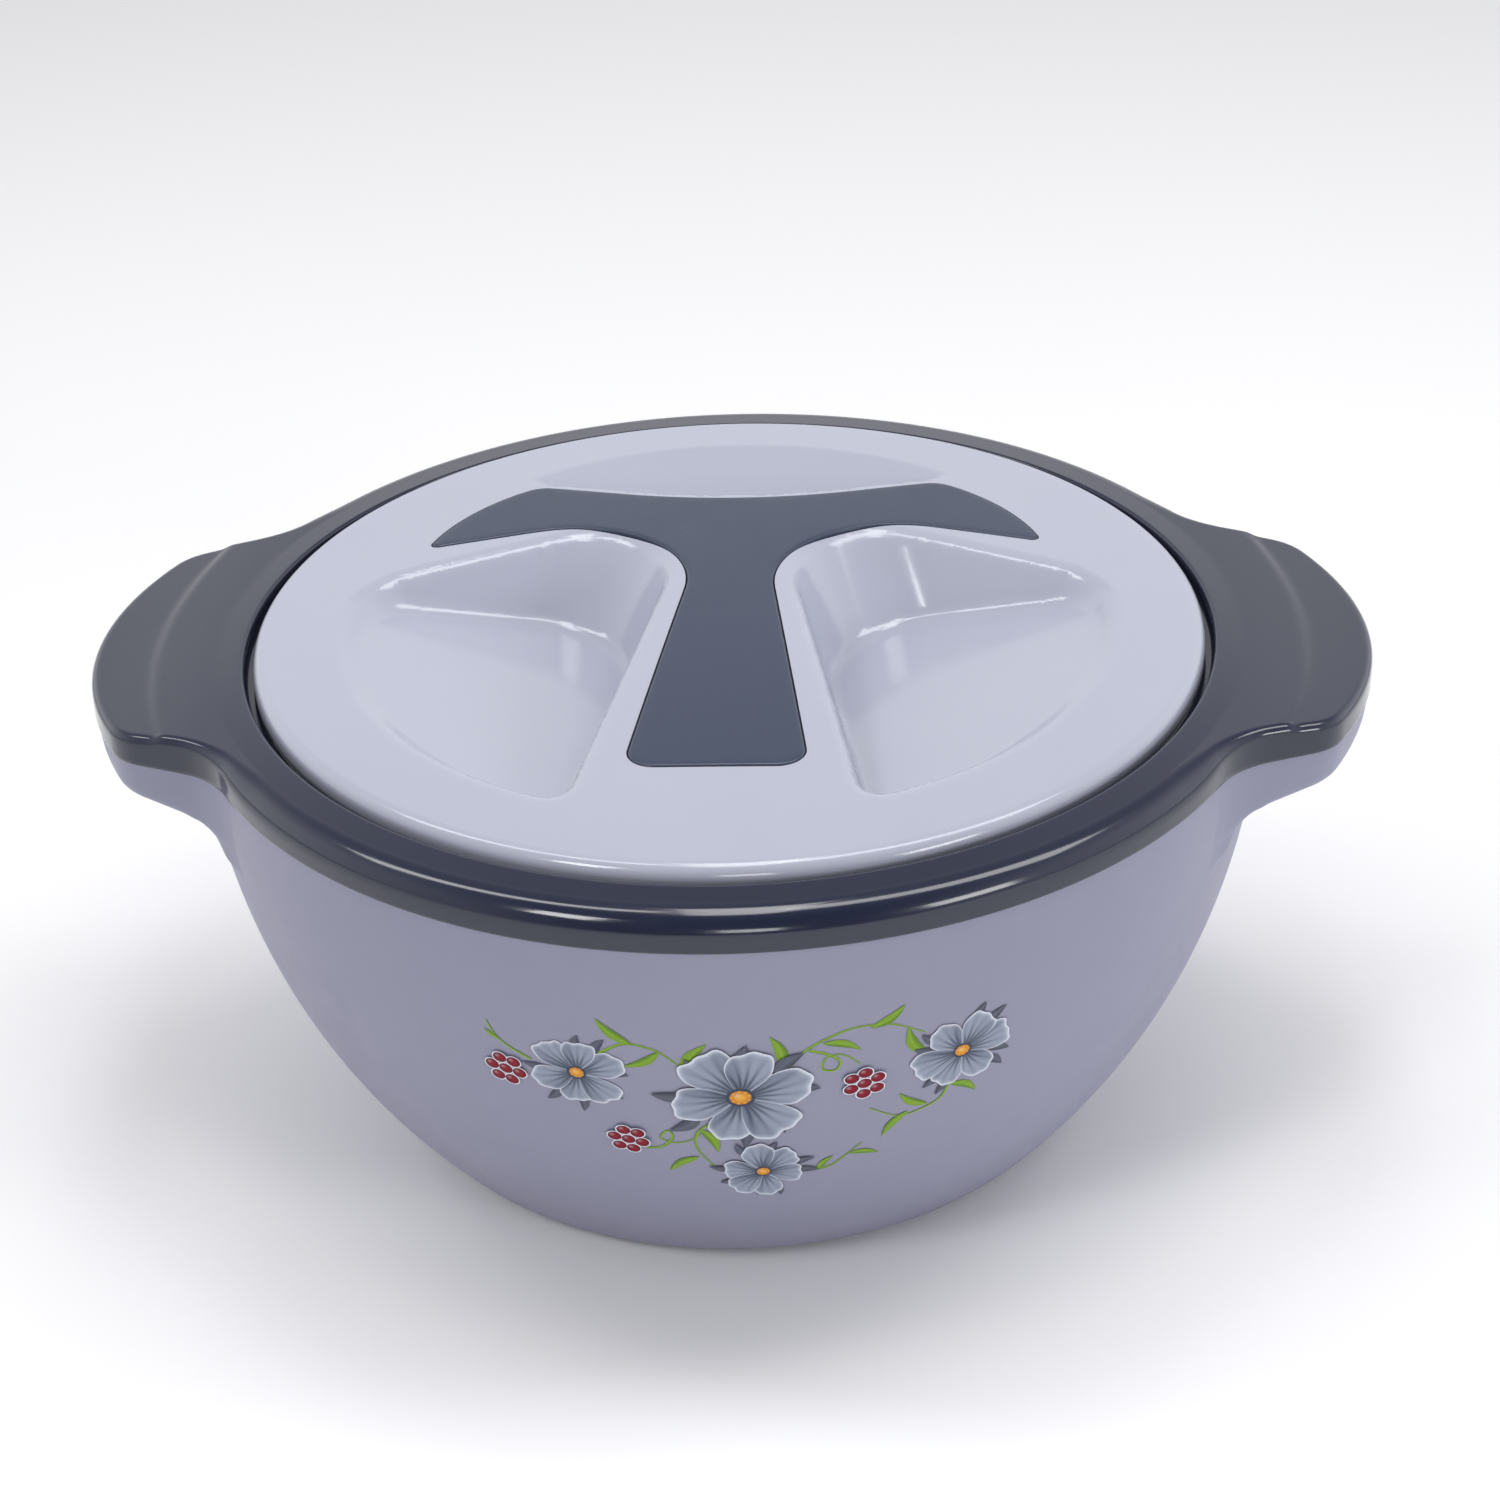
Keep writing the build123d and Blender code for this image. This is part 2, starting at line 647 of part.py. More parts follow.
# ---- lid lining: the plug below the lid, with its keys for the bayonet -----------------------
flange_top = skirt_bottom + skin
liner_low_radius = liner_radius - liner_draft
with BuildPart() as lid_liner:
    add(turned([
        (0, liner_floor),
        (liner_low_radius, liner_floor),
        (liner_radius, bore_bottom),
        (liner_radius, skirt_bottom),
        (cover_inside - fit_gap, skirt_bottom),
        (cover_inside - fit_gap, flange_top),
        (liner_radius - skin, flange_top),
        (liner_radius - skin, bore_bottom),
        (liner_low_radius - skin, liner_floor + skin),
        (0, liner_floor + skin),
    ]))
    outer_rim = lid_liner.edges().filter_by(GeomType.CIRCLE).group_by(Axis.Z)[0]
    fillet(outer_rim, skin)
    add(ring_sectors(
        liner_radius - skin / 2, bore_radius - plug_gap, key_top - key_height, key_top, key_width,
        360 / bayonet_count / 2 - twist_angle,
    ))
finish(lid_liner, "lid_liner")


# ---- foam inside the lid ---------------------------------------------------------------------
foam_top = dome_block(cover_inside - foam_gap, flange_top + foam_gap, -skin - foam_gap)
foam_bosses = recess_blocks(skin + foam_gap)
with BuildPart() as lid_foam:
    add(foam_top)
    add(turned([
        (0, liner_floor + skin + foam_gap),
        (liner_low_radius - skin - foam_gap, liner_floor + skin + foam_gap),
        (liner_radius - skin - 2 * foam_gap, bore_bottom),
        (liner_radius - skin - 2 * foam_gap, flange_top + 2 * foam_gap),
        (0, flange_top + 2 * foam_gap),
    ]))
    for boss in foam_bosses:
        add(boss, mode=Mode.SUBTRACT)
finish(lid_foam, "lid_foam")


# ---- lid gasket: flat ring between the lid and the collar's ledge ----------------------------
gasket_inner = liner_radius + running_gap
gasket_low = ledge_height + fit_gap
with BuildPart() as lid_gasket:
    add(turned([
        (gasket_inner, gasket_low),
        (gasket_outer, gasket_low),
        (gasket_outer, gasket_low + gasket_height),
        (gasket_inner, gasket_low + gasket_height),
    ]))
finish(lid_gasket, "lid_gasket")
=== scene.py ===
# Looks of a round insulated food server: lilac shell with a flower print, slate collar, T-grip lid.
# Lengths of the object are millimetres in the CAD frame until a mesh is made, which is in metres.
import math

import bmesh
import bpy
import numpy as np
from mathutils import Matrix, Vector
from mathutils.geometry import delaunay_2d_cdt


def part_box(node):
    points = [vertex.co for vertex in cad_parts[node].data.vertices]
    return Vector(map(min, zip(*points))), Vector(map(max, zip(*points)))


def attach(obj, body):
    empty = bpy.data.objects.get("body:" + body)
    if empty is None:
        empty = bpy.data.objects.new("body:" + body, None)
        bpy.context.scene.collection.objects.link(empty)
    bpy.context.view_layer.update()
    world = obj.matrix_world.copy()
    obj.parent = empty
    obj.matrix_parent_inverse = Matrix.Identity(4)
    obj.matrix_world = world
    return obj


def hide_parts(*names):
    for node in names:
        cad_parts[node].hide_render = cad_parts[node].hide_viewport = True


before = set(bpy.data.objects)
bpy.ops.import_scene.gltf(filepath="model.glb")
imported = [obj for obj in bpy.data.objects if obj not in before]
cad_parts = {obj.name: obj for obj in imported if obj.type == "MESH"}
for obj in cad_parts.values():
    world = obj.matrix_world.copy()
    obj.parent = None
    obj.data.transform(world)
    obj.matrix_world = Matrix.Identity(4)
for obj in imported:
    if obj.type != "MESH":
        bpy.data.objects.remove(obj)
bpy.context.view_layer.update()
MM = 0.001


# ---- sizes read from the frame ---------------------------------------------------------------
def box_mm(node):
    low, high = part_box(node)
    return np.array(low) / MM, np.array(high) / MM


shell_high = box_mm("outer_shell")[1]
collar_low, collar_high = box_mm("rim_collar")
cover_high = box_mm("lid_cover")[1]

RIM_Z = shell_high[2]  # joint between the shell and the collar
COLLAR_R = collar_high[1]  # outside of the collar, between the lugs
LUG_TIP = collar_high[0]
SHELL_R = COLLAR_R - 0.9  # outside of the shell at the joint
COLLAR_LIP_Z = collar_high[2]
LID_R = cover_high[0]
LID_EDGE_Z = RIM_Z + 13.0  # height of the lid's edge, where its crown starts
DOME = cover_high[2] - LID_EDGE_Z + 0.03
SKIRT_Z = LID_EDGE_Z - 6.4  # underside of the lid's outer edge
LEDGE_Z = SKIRT_Z - 1.6  # ledge in the collar, under the lid
GROOVE_R = LID_R + 2.5  # wall of the collar round the lid
BORE_R = GROOVE_R - 7.5  # opening of the collar under the ledge
BORE_Z = collar_low[2]
SKIN = 2.4  # wall thickness of the mouldings
INLAY_PROUD = 0.35


# ---- small helpers ---------------------------------------------------------------------------
def smooth_step(value, low=0.0, high=1.0):
    t = np.clip((np.asarray(value, float) - low) / (high - low), 0, 1)
    return t * t * (3 - 2 * t)


def make_object(name, points_mm, faces, material, smooth=True):
    mesh = bpy.data.meshes.new(name)
    points = np.asarray(points_mm, float) * MM
    mesh.from_pydata(points.tolist(), [], [list(map(int, face)) for face in faces])
    mesh.validate()
    mesh.update()
    if smooth:
        mesh.shade_smooth()
    obj = bpy.data.objects.new(name, mesh)
    bpy.context.scene.collection.objects.link(obj)
    obj.data.materials.append(material)
    return obj


def face_outward(obj):
    work = bmesh.new()
    work.from_mesh(obj.data)
    bmesh.ops.recalc_face_normals(work, faces=work.faces)
    work.to_mesh(obj.data)
    work.free()


def drop_loose(obj):
    work = bmesh.new()
    work.from_mesh(obj.data)
    bmesh.ops.delete(work, geom=[v for v in work.verts if not v.link_faces], context="VERTS")
    work.to_mesh(obj.data)
    work.free()


def grid_faces(rows, columns, closed=True, first=0):
    """Quads of a grid stored row by row, with its columns closed into a ring if asked."""
    r = np.arange(rows - 1)[:, None]
    c = np.arange(columns if closed else columns - 1)[None, :]
    n = (c + 1) % columns
    quads = np.stack([r * columns + c, r * columns + n, (r + 1) * columns + n, (r + 1) * columns + c], -1)
    return (quads.reshape(-1, 4) + first).tolist()


def join_rings(before, after):
    """Quads between two rings of point numbers."""
    count = len(before)
    return [[before[i], before[(i + 1) % count], after[(i + 1) % count], after[i]] for i in range(count)]


def headings(angle):
    """Unit plan vectors at angles."""
    return np.stack([np.cos(angle), np.sin(angle)], -1)


def level_row(plan, height):
    """Plan points, all at one height."""
    return np.column_stack([plan, np.full(len(plan), height)])


# ---- materials -------------------------------------------------------------------------------
def new_material(name):
    material = bpy.data.materials.new(name)
    material.use_nodes = True
    tree = material.node_tree
    return material, tree, tree.nodes["Principled BSDF"]


def add_node(tree, kind, **settings):
    node = tree.nodes.new(kind)
    for key, value in settings.items():
        if key in node.inputs:
            node.inputs[key].default_value = value
        else:
            setattr(node, key, value)
    return node


def map_range(tree, value, old, new, kind="LINEAR"):
    """Output of a node that maps a value from the old range to the new one."""
    node = add_node(tree, "ShaderNodeMapRange", interpolation_type=kind)
    node.inputs["From Min"].default_value, node.inputs["From Max"].default_value = old
    node.inputs["To Min"].default_value, node.inputs["To Max"].default_value = new
    tree.links.new(value, node.inputs["Value"])
    return node.outputs["Result"]


def add_bump(tree, shader, height, strength, distance):
    bump = add_node(tree, "ShaderNodeBump", Strength=strength, Distance=distance)
    tree.links.new(height, bump.inputs["Height"])
    tree.links.new(bump.outputs["Normal"], shader.inputs["Normal"])


def plastic(name, color, tint, roughness, rough_spread, coat=0.0, grain=0.02, grain_size=900.0):
    """Moulded plastic: cloudy colour, uneven gloss and a fine skin."""
    material, tree, shader = new_material(name)
    link = tree.links.new
    place = add_node(tree, "ShaderNodeTexCoord")
    cloud = add_node(tree, "ShaderNodeTexNoise", Scale=14.0, Detail=3.0, Roughness=0.6)
    link(place.outputs["Object"], cloud.inputs["Vector"])
    mix = add_node(tree, "ShaderNodeMix", data_type="RGBA")
    mix.inputs[6].default_value = (*color, 1)
    mix.inputs[7].default_value = (*tint, 1)
    link(cloud.outputs["Fac"], mix.inputs[0])
    link(mix.outputs[2], shader.inputs["Base Color"])
    smear = add_node(tree, "ShaderNodeTexNoise", Scale=45.0, Detail=6.0, Roughness=0.65, Distortion=0.6)
    link(place.outputs["Object"], smear.inputs["Vector"])
    gloss = map_range(tree, smear.outputs["Fac"], (0.3, 0.75), (roughness, roughness + rough_spread))
    link(gloss, shader.inputs["Roughness"])
    skin = add_node(tree, "ShaderNodeTexNoise", Scale=grain_size, Detail=2.0)
    link(place.outputs["Object"], skin.inputs["Vector"])
    add_bump(tree, shader, skin.outputs["Fac"], grain, 0.0002)
    shader.inputs["IOR"].default_value = 1.5
    shader.inputs["Coat Weight"].default_value = coat
    shader.inputs["Coat Roughness"].default_value = 0.06
    return material


def brushed_steel(name):
    """Turned stainless steel with fine rings about the Z axis."""
    material, tree, shader = new_material(name)
    link = tree.links.new
    place = add_node(tree, "ShaderNodeTexCoord")
    rings = add_node(tree, "ShaderNodeTexWave", wave_type="RINGS", rings_direction="Z",
                     Scale=420.0, Distortion=3.0, Detail=3.0)
    link(place.outputs["Object"], rings.inputs["Vector"])
    link(map_range(tree, rings.outputs["Fac"], (0, 1), (0.2, 0.34)), shader.inputs["Roughness"])
    add_bump(tree, shader, rings.outputs["Fac"], 0.08, 0.0001)
    shader.inputs["Base Color"].default_value = (0.62, 0.62, 0.63, 1)
    shader.inputs["Metallic"].default_value = 1.0
    return material


def painted(name, attribute):
    """Print ink that takes its colour from the mesh's own colour attribute."""
    material, tree, shader = new_material(name)
    link = tree.links.new
    ink = add_node(tree, "ShaderNodeVertexColor", layer_name=attribute)
    place = add_node(tree, "ShaderNodeTexCoord")
    fleck = add_node(tree, "ShaderNodeTexNoise", Scale=2600.0, Detail=2.0)
    link(place.outputs["Object"], fleck.inputs["Vector"])
    scale = add_node(tree, "ShaderNodeVectorMath", operation="SCALE")
    link(ink.outputs["Color"], scale.inputs[0])
    link(map_range(tree, fleck.outputs["Fac"], (0, 1), (0.93, 1.05)), scale.inputs["Scale"])
    link(scale.outputs["Vector"], shader.inputs["Base Color"])
    shader.inputs["Roughness"].default_value = 0.45
    shader.inputs["Specular IOR Level"].default_value = 0.2
    return material


LIGHT_LID = plastic("lid_plastic", (0.395, 0.415, 0.505), (0.43, 0.445, 0.53), 0.11, 0.08, coat=0.2)
LIGHT_SHELL = plastic("shell_plastic", (0.250, 0.250, 0.348), (0.272, 0.272, 0.370), 0.40, 0.10, grain=0.05)
DARK_COLLAR = plastic("collar_plastic", (0.013, 0.017, 0.038), (0.019, 0.023, 0.046), 0.10, 0.08, coat=0.25)
DARK_INLAY = plastic("inlay_plastic", (0.028, 0.041, 0.078), (0.036, 0.049, 0.088), 0.27, 0.10, grain=0.05)
LINING = plastic("lining_plastic", (0.60, 0.61, 0.69), (0.64, 0.65, 0.72), 0.24, 0.08)
SILICONE = plastic("seal_silicone", (0.66, 0.66, 0.64), (0.70, 0.70, 0.68), 0.48, 0.12, grain=0.1)
FOAM = plastic("rigid_foam", (0.72, 0.62, 0.38), (0.80, 0.71, 0.48), 0.85, 0.1, grain=0.9, grain_size=500)
PLUG = plastic("plug_plastic", (0.40, 0.39, 0.50), (0.44, 0.43, 0.54), 0.4, 0.1)
STEEL = brushed_steel("turned_steel")
PRINT_INK = painted("print_ink", "ink")


# ---- plan outline of the collar and the lugs -------------------------------------------------
DRAWN_COLLAR_R = 142.5  # collar radius for which LUG_SIDE is given
LUG_SIDE = np.array([150.0, 53.0])  # a point on the straight side of the lug
LUG_ANGLE = math.radians(160.0)
LUG_TIP_R = 94.0
CORNER_R = 15.0
FLARE_R = 26.0
PLAN_STEP = 1.15


def lug_quarter(step):
    """Plan points of the collar from +Y round to +X, each with its outward normal and lug share."""
    along = np.array([math.cos(LUG_ANGLE), math.sin(LUG_ANGLE)])
    normal = np.array([along[1], -along[0]])
    base = LUG_SIDE + (COLLAR_R - DRAWN_COLLAR_R, 0)

    def slide(start, target, radius):
        offset = start - target
        middle = offset @ along
        root = math.sqrt(middle**2 - offset @ offset + radius**2)
        return start - along * (middle + root)

    flare = slide(base + normal * FLARE_R, np.zeros(2), COLLAR_R + FLARE_R)
    tip_centre = np.array([LUG_TIP - LUG_TIP_R, 0.0])
    corner = slide(base - normal * CORNER_R, tip_centre, LUG_TIP_R - CORNER_R)
    ring_touch = flare * COLLAR_R / (COLLAR_R + FLARE_R)
    pieces = []

    def arc(centre, radius, first, last, sign):
        count = max(int(abs(last - first) * radius / step), 4)
        for angle in np.linspace(first, last, count, endpoint=False):
            heading = np.array([math.cos(angle), math.sin(angle)])
            pieces.append((*(centre + radius * heading), *(sign * heading)))

    touch_angle = math.atan2(ring_touch[1], ring_touch[0])
    arc(np.zeros(2), COLLAR_R, math.pi / 2, touch_angle, 1)
    back = math.atan2(-flare[1], -flare[0])
    arc(flare, FLARE_R, back, math.atan2(-normal[1], -normal[0]), -1)
    start = flare - normal * FLARE_R
    stop = corner + normal * CORNER_R
    for share in np.linspace(0, 1, max(int(np.linalg.norm(stop - start) / step), 3), endpoint=False):
        pieces.append((*(start + share * (stop - start)), *normal))
    tip_point = corner - tip_centre
    tip_angle = math.atan2(tip_point[1], tip_point[0])
    arc(corner, CORNER_R, math.atan2(normal[1], normal[0]), tip_angle, 1)
    arc(tip_centre, LUG_TIP_R, tip_angle, 0, 1)
    return np.array(pieces), touch_angle


def full_outline(step):
    """Whole plan outline as points and outward normals, starting at +Y and running clockwise."""
    quarter, touch_angle = lug_quarter(step)
    tip = np.array([[LUG_TIP, 0, 1, 0]])
    right = np.concatenate([quarter, tip, quarter[::-1] * (1, -1, 1, -1)])
    left = right[1:-1][::-1] * (-1, 1, -1, 1)
    both = np.concatenate([right, left])
    return both[:, :2], both[:, 2:], touch_angle


OUTLINE, NORMALS, TOUCH_ANGLE = full_outline(PLAN_STEP)
OUTLINE_HEADING = headings(np.arctan2(OUTLINE[:, 1], OUTLINE[:, 0]))
ARC_FROM_FLARE = TOUCH_ANGLE - np.abs(np.arctan2(OUTLINE[:, 1], np.abs(OUTLINE[:, 0])))
LUG_SHARE = smooth_step(ARC_FROM_FLARE, math.radians(-7.0), math.radians(6.5))


# ---- rim collar ------------------------------------------------------------------------------
SHOULDER_R = 6.4  # rounding of the outer edge between the lugs
LUG_EDGE_R = 2.3  # rounding of the outer edge on the lugs
LIP_R = 0.9  # rounding at the groove round the lid
TOP_FALL, TOP_FALL_WIDTH = 0.7, 7.5
TIP_FALL, TIP_FALL_FROM, TIP_FALL_TO = 2.0, 132.0, 172.0
PAD_STEP, PAD_EDGE = 0.8, 3.2  # height and width of the step to a lug's outer pad
PAD_X, PAD_BOW = 152.5, 0.0032  # place of that step at y = 0, and how much it bows
TAB_R = 118.2  # inner radius of the bayonet tabs
TAB_HALF = math.radians(12.0)
TAB_LOW, TAB_HIGH = LEDGE_Z - 5.4, LEDGE_Z - 2.6
TAB_BEVEL = 0.35


def collar_top(points):
    """Height of the collar's upper face: a lip round the lid, falling gently along each lug."""
    x = np.abs(points[:, 0])
    y = points[:, 1]
    distance = np.hypot(points[:, 0], y)
    height = COLLAR_LIP_Z - TOP_FALL * np.clip((distance - GROOVE_R) / TOP_FALL_WIDTH, 0, 1)
    height -= TIP_FALL * smooth_step(x, TIP_FALL_FROM, TIP_FALL_TO)
    beyond_pad = x - (PAD_X - PAD_BOW * y * y)
    height -= PAD_STEP * smooth_step(beyond_pad, -PAD_EDGE / 2, PAD_EDGE / 2)
    return height


def build_collar():
    """Collar with both lugs: one column of points per outline point, row by row from the bore up and out."""
    count = len(OUTLINE)
    edge_r = SHOULDER_R + (LUG_EDGE_R - SHOULDER_R) * LUG_SHARE
    inset = OUTLINE - NORMALS * edge_r[:, None]
    inset_top = collar_top(inset)
    profile = [
        (BORE_R, BORE_Z), (BORE_R, BORE_Z + 2), (BORE_R, LEDGE_Z - 1.2), (BORE_R, LEDGE_Z - 0.4),
        (BORE_R + 0.12, LEDGE_Z - 0.12), (BORE_R + 0.4, LEDGE_Z), (GROOVE_R - 1.2, LEDGE_Z),
        (GROOVE_R - 0.3, LEDGE_Z + 0.08), (GROOVE_R, LEDGE_Z + 0.5), (GROOVE_R, COLLAR_LIP_Z - 2.2),
    ]
    for turn in np.linspace(0, math.pi / 2, 6):
        lip_z = COLLAR_LIP_Z - 0.1 - LIP_R * (1 - math.sin(turn))
        profile.append((GROOVE_R + LIP_R * (1 - math.cos(turn)), lip_z))
    rows = [level_row(OUTLINE_HEADING * radius, height) for radius, height in profile]
    inner = OUTLINE_HEADING * (GROOVE_R + LIP_R + 0.3)
    for share in np.linspace(0, 1, 30):
        plan = inner + (inset - inner) * share
        rows.append(np.column_stack([plan, collar_top(plan)]))
    for turn in np.linspace(0, math.pi / 2, 11)[1:]:
        plan = inset + NORMALS * (edge_r * math.sin(turn))[:, None]
        rows.append(np.column_stack([plan, inset_top - edge_r * (1 - math.cos(turn))]))
    wall_top = inset_top - edge_r
    for share in (0.3, 0.6, 0.85):
        rows.append(np.column_stack([OUTLINE, wall_top + (RIM_Z + 0.25 - wall_top) * share]))
    for inward, lift in ((0.0, 0.25), (0.1, 0.07), (0.3, 0.01)):
        rows.append(level_row(OUTLINE - NORMALS * inward, RIM_Z + lift))
    for radius, height in (
        (SHELL_R - SKIN - 0.2, RIM_Z + 0.01), (SHELL_R - SKIN - 0.2, BORE_Z + 0.6),
        (SHELL_R - 2 * SKIN, BORE_Z + 0.6), (SHELL_R - 2 * SKIN, RIM_Z + 7.0),
        (GROOVE_R + SKIN, RIM_Z + 7.0), (GROOVE_R + SKIN, LEDGE_Z - SKIN),
        (BORE_R + SKIN, LEDGE_Z - SKIN), (BORE_R + SKIN, BORE_Z),
    ):
        rows.append(level_row(OUTLINE_HEADING * radius, height))
    points = np.concatenate(rows)
    faces = grid_faces(len(rows), count)
    last = (len(rows) - 1) * count
    faces += join_rings(range(last, last + count), range(count))
    collar = make_object("collar_moulding", points, faces, DARK_COLLAR)
    face_outward(collar)
    return collar


def build_tabs():
    """The four bayonet tabs inside the collar, as rounded blocks."""
    outer = BORE_R + 0.8
    corners = ((TAB_R, TAB_LOW), (TAB_R, TAB_HIGH), (outer, TAB_HIGH), (outer, TAB_LOW))
    work = bmesh.new()
    for index in range(4):
        middle = math.radians(45 + 90 * index)
        ring = []
        for angle in np.linspace(-TAB_HALF, TAB_HALF, 13):
            c, s = math.cos(middle + angle), math.sin(middle + angle)
            ring.append([work.verts.new((r * c * MM, r * s * MM, z * MM)) for r, z in corners])
        for before, after in zip(ring, ring[1:]):
            for k in range(4):
                work.faces.new((before[k], before[(k + 1) % 4], after[(k + 1) % 4], after[k]))
        work.faces.new(ring[0])
        work.faces.new(ring[-1][::-1])
    bmesh.ops.recalc_face_normals(work, faces=work.faces)
    sharp = [e for e in work.edges if e.calc_face_angle(0) > 0.6]
    bmesh.ops.bevel(work, geom=sharp, offset=TAB_BEVEL * MM, segments=2, affect="EDGES")
    mesh = bpy.data.meshes.new("bayonet_tabs")
    work.to_mesh(mesh)
    work.free()
    mesh.shade_smooth()
    tabs = bpy.data.objects.new("bayonet_tabs", mesh)
    bpy.context.scene.collection.objects.link(tabs)
    mesh.materials.append(DARK_COLLAR)
    return tabs


# ---- outer shell -----------------------------------------------------------------------------
FOOT_R = 93.8  # where the side arc would meet the floor
FOOT_ROUND = 14.0
RECESS_R = 80.0
RECESS_Z = 2.0
PLUG_HOLE_R = 6.1
LUG_INSET = 0.8  # how far the shell's lugs stand inside the collar's
TRAY_ROOT = 13.5  # depth of the shell under a lug, at its root and tip
TRAY_TIP = 7.0
TRAY_ROUND = 4.0
ROOT_ROUND = 9.0
SIDE_STEP = SHELL_R - FOOT_R
SIDE_R = (RIM_Z**2 + SIDE_STEP**2) / (2 * SIDE_STEP)
SIDE_CENTRE = SHELL_R - SIDE_R


def side_radius(height):
    """Outside radius of the shell's side at a height."""
    return SIDE_CENTRE + np.sqrt(SIDE_R**2 - (RIM_Z - np.asarray(height, float)) ** 2)


def foot_rounding():
    """Centre and end angles of the rounding between the side arc and the foot."""
    centre_r = SIDE_CENTRE + math.sqrt((SIDE_R - FOOT_ROUND) ** 2 - (RIM_Z - FOOT_ROUND) ** 2)
    lean = math.atan2(FOOT_ROUND - RIM_Z, centre_r - SIDE_CENTRE)
    return centre_r, FOOT_ROUND, lean


def build_shell():
    """Shell under the collar's outline: the trays under both lugs, the side, the foot and the inside."""
    count = len(OUTLINE)
    heading = OUTLINE_HEADING
    on_ring = np.hypot(OUTLINE[:, 0], OUTLINE[:, 1]) < COLLAR_R + 0.2
    wall = np.where(on_ring[:, None], heading * SHELL_R, OUTLINE - NORMALS * LUG_INSET)
    wall_r = np.hypot(wall[:, 0], wall[:, 1])
    stand_out = np.clip(wall_r - SHELL_R, 0, None)
    tray_round = np.minimum(TRAY_ROUND, 0.45 * stand_out)
    root_round = np.minimum(ROOT_ROUND, 0.5 * stand_out)
    slope = (TRAY_ROOT - TRAY_TIP) / (LUG_TIP - COLLAR_R)
    out_share = smooth_step(stand_out, 0.0, 2.5)
    fan_out = 0.7 * (1 - smooth_step(stand_out, 0.0, 6.0))
    rows = []

    def under_height(plan):
        """Height of a lug's underside."""
        out = np.clip(np.abs(plan[:, 0]) - SHELL_R, -6, 60)
        return RIM_Z - TRAY_ROOT + slope * out

    def settle(plan, height):
        """Add a row, drawn in to the side arc where there is no lug."""
        reach = np.hypot(*plan.T)
        fall = (SHELL_R - side_radius(height)) * (1 - out_share)
        rows.append(np.column_stack([plan * ((reach - fall) / reach)[:, None], height]))

    edge = wall - NORMALS * tray_round[:, None]
    low = under_height(edge) + tray_round
    for share in (0.0, 0.03, 0.35, 0.7, 1.0):
        settle(wall, RIM_Z + (low - RIM_Z) * share)
    step = 0
    for turn in np.linspace(0, math.pi / 2, 8)[1:]:
        step += 1
        plan = wall - NORMALS * (tray_round * (1 - math.cos(turn)))[:, None]
        settle(plan, low - tray_round * math.sin(turn) - fan_out * step)
    wall_z = under_height(heading * SHELL_R)
    root = heading * (SHELL_R - (SHELL_R - side_radius(wall_z)) * out_share + root_round)[:, None]
    for share in np.linspace(0, 1, 9)[1:]:
        step += 1
        plan = edge + (root - edge) * share
        settle(plan, under_height(plan) - fan_out * step)
    root_z = under_height(root)
    for turn in np.linspace(0, math.pi / 2, 9)[1:]:
        step += 1
        height = root_z - root_round * (1 - math.cos(turn)) - fan_out * step
        away = root_round * (1 - math.sin(turn))
        rows.append(np.column_stack([heading * (side_radius(height) + away)[:, None], height]))
    last_z = rows[-1][:, 2]
    foot_centre_r, foot_centre_z, lean = foot_rounding()
    join_z = foot_centre_z + FOOT_ROUND * math.sin(lean)
    for share in np.linspace(0, 1, 42)[1:]:
        height = last_z + (join_z - last_z) * share
        rows.append(np.column_stack([heading * side_radius(height)[:, None], height]))
    for turn in np.linspace(lean, -math.pi / 2, 14)[1:]:
        radius = foot_centre_r + FOOT_ROUND * math.cos(turn)
        height = foot_centre_z + FOOT_ROUND * math.sin(turn)
        rows.append(level_row(heading * radius, max(height, 0.0)))
    inside = [(side_radius(height) - SKIN * 1.1, height) for height in np.linspace(12, RIM_Z - 14, 6)]
    for radius, height in (
        (RECESS_R + 0.6, 0.0), (RECESS_R + 0.2, 0.15), (RECESS_R, 0.6), (RECESS_R, RECESS_Z - 0.4),
        (RECESS_R - 0.15, RECESS_Z - 0.1), (RECESS_R - 0.5, RECESS_Z), (60, RECESS_Z), (30, RECESS_Z),
        (PLUG_HOLE_R + 3.5, RECESS_Z), (PLUG_HOLE_R, RECESS_Z), (PLUG_HOLE_R, RECESS_Z + SKIN),
        (60, RECESS_Z + SKIN), (84, RECESS_Z + SKIN + 0.6), *inside,
        (SHELL_R - SKIN - 0.05, RIM_Z - 6), (SHELL_R - SKIN, RIM_Z),
    ):
        rows.append(level_row(heading * radius, height))
    points = np.concatenate(rows)
    faces = grid_faces(len(rows), count)
    last = (len(rows) - 1) * count
    faces += join_rings(range(last, last + count), range(count))
    shell = make_object("shell_moulding", points, faces, LIGHT_SHELL)
    face_outward(shell)
    return shell


# ---- lid top ---------------------------------------------------------------------------------
WELL_STEM = ((20.8, 1.0), (35.8, -91.5))  # plan line of the wall beside the stem
WELL_ARM = ((97.0, 21.0), (56.5, 40.7))  # plan line of the wall beside the arm
WELL_STEM_DRAFT = 14.0
WELL_ARM_DRAFT = 34.0
WELL_RIM_DRAFT = 28.0
WELL_RIM_R = 101.0
WELL_FLOOR = ((88.0, 17.0, -7.4), (38.0, 26.0, -20.5), (70.0, -60.0, -4.2))  # three points of it
WELL_CORNER = 26.0
WELL_END = 7.0
WELL_FLOOR_ROUND = 5.0
WELL_LIP = 4.0
DISH_LIP = 2.2
DISH_Y = 14.6  # middle of the thumb dish's ball, in plan
DISH_R = 89.4  # radius of the dish at the height of the lid's edge
DISH_BALL = 300.0
DISH_FRONT = 71.6  # front of the dish at x = 0, behind the grip
DISH_FRONT_LEAN = 0.1
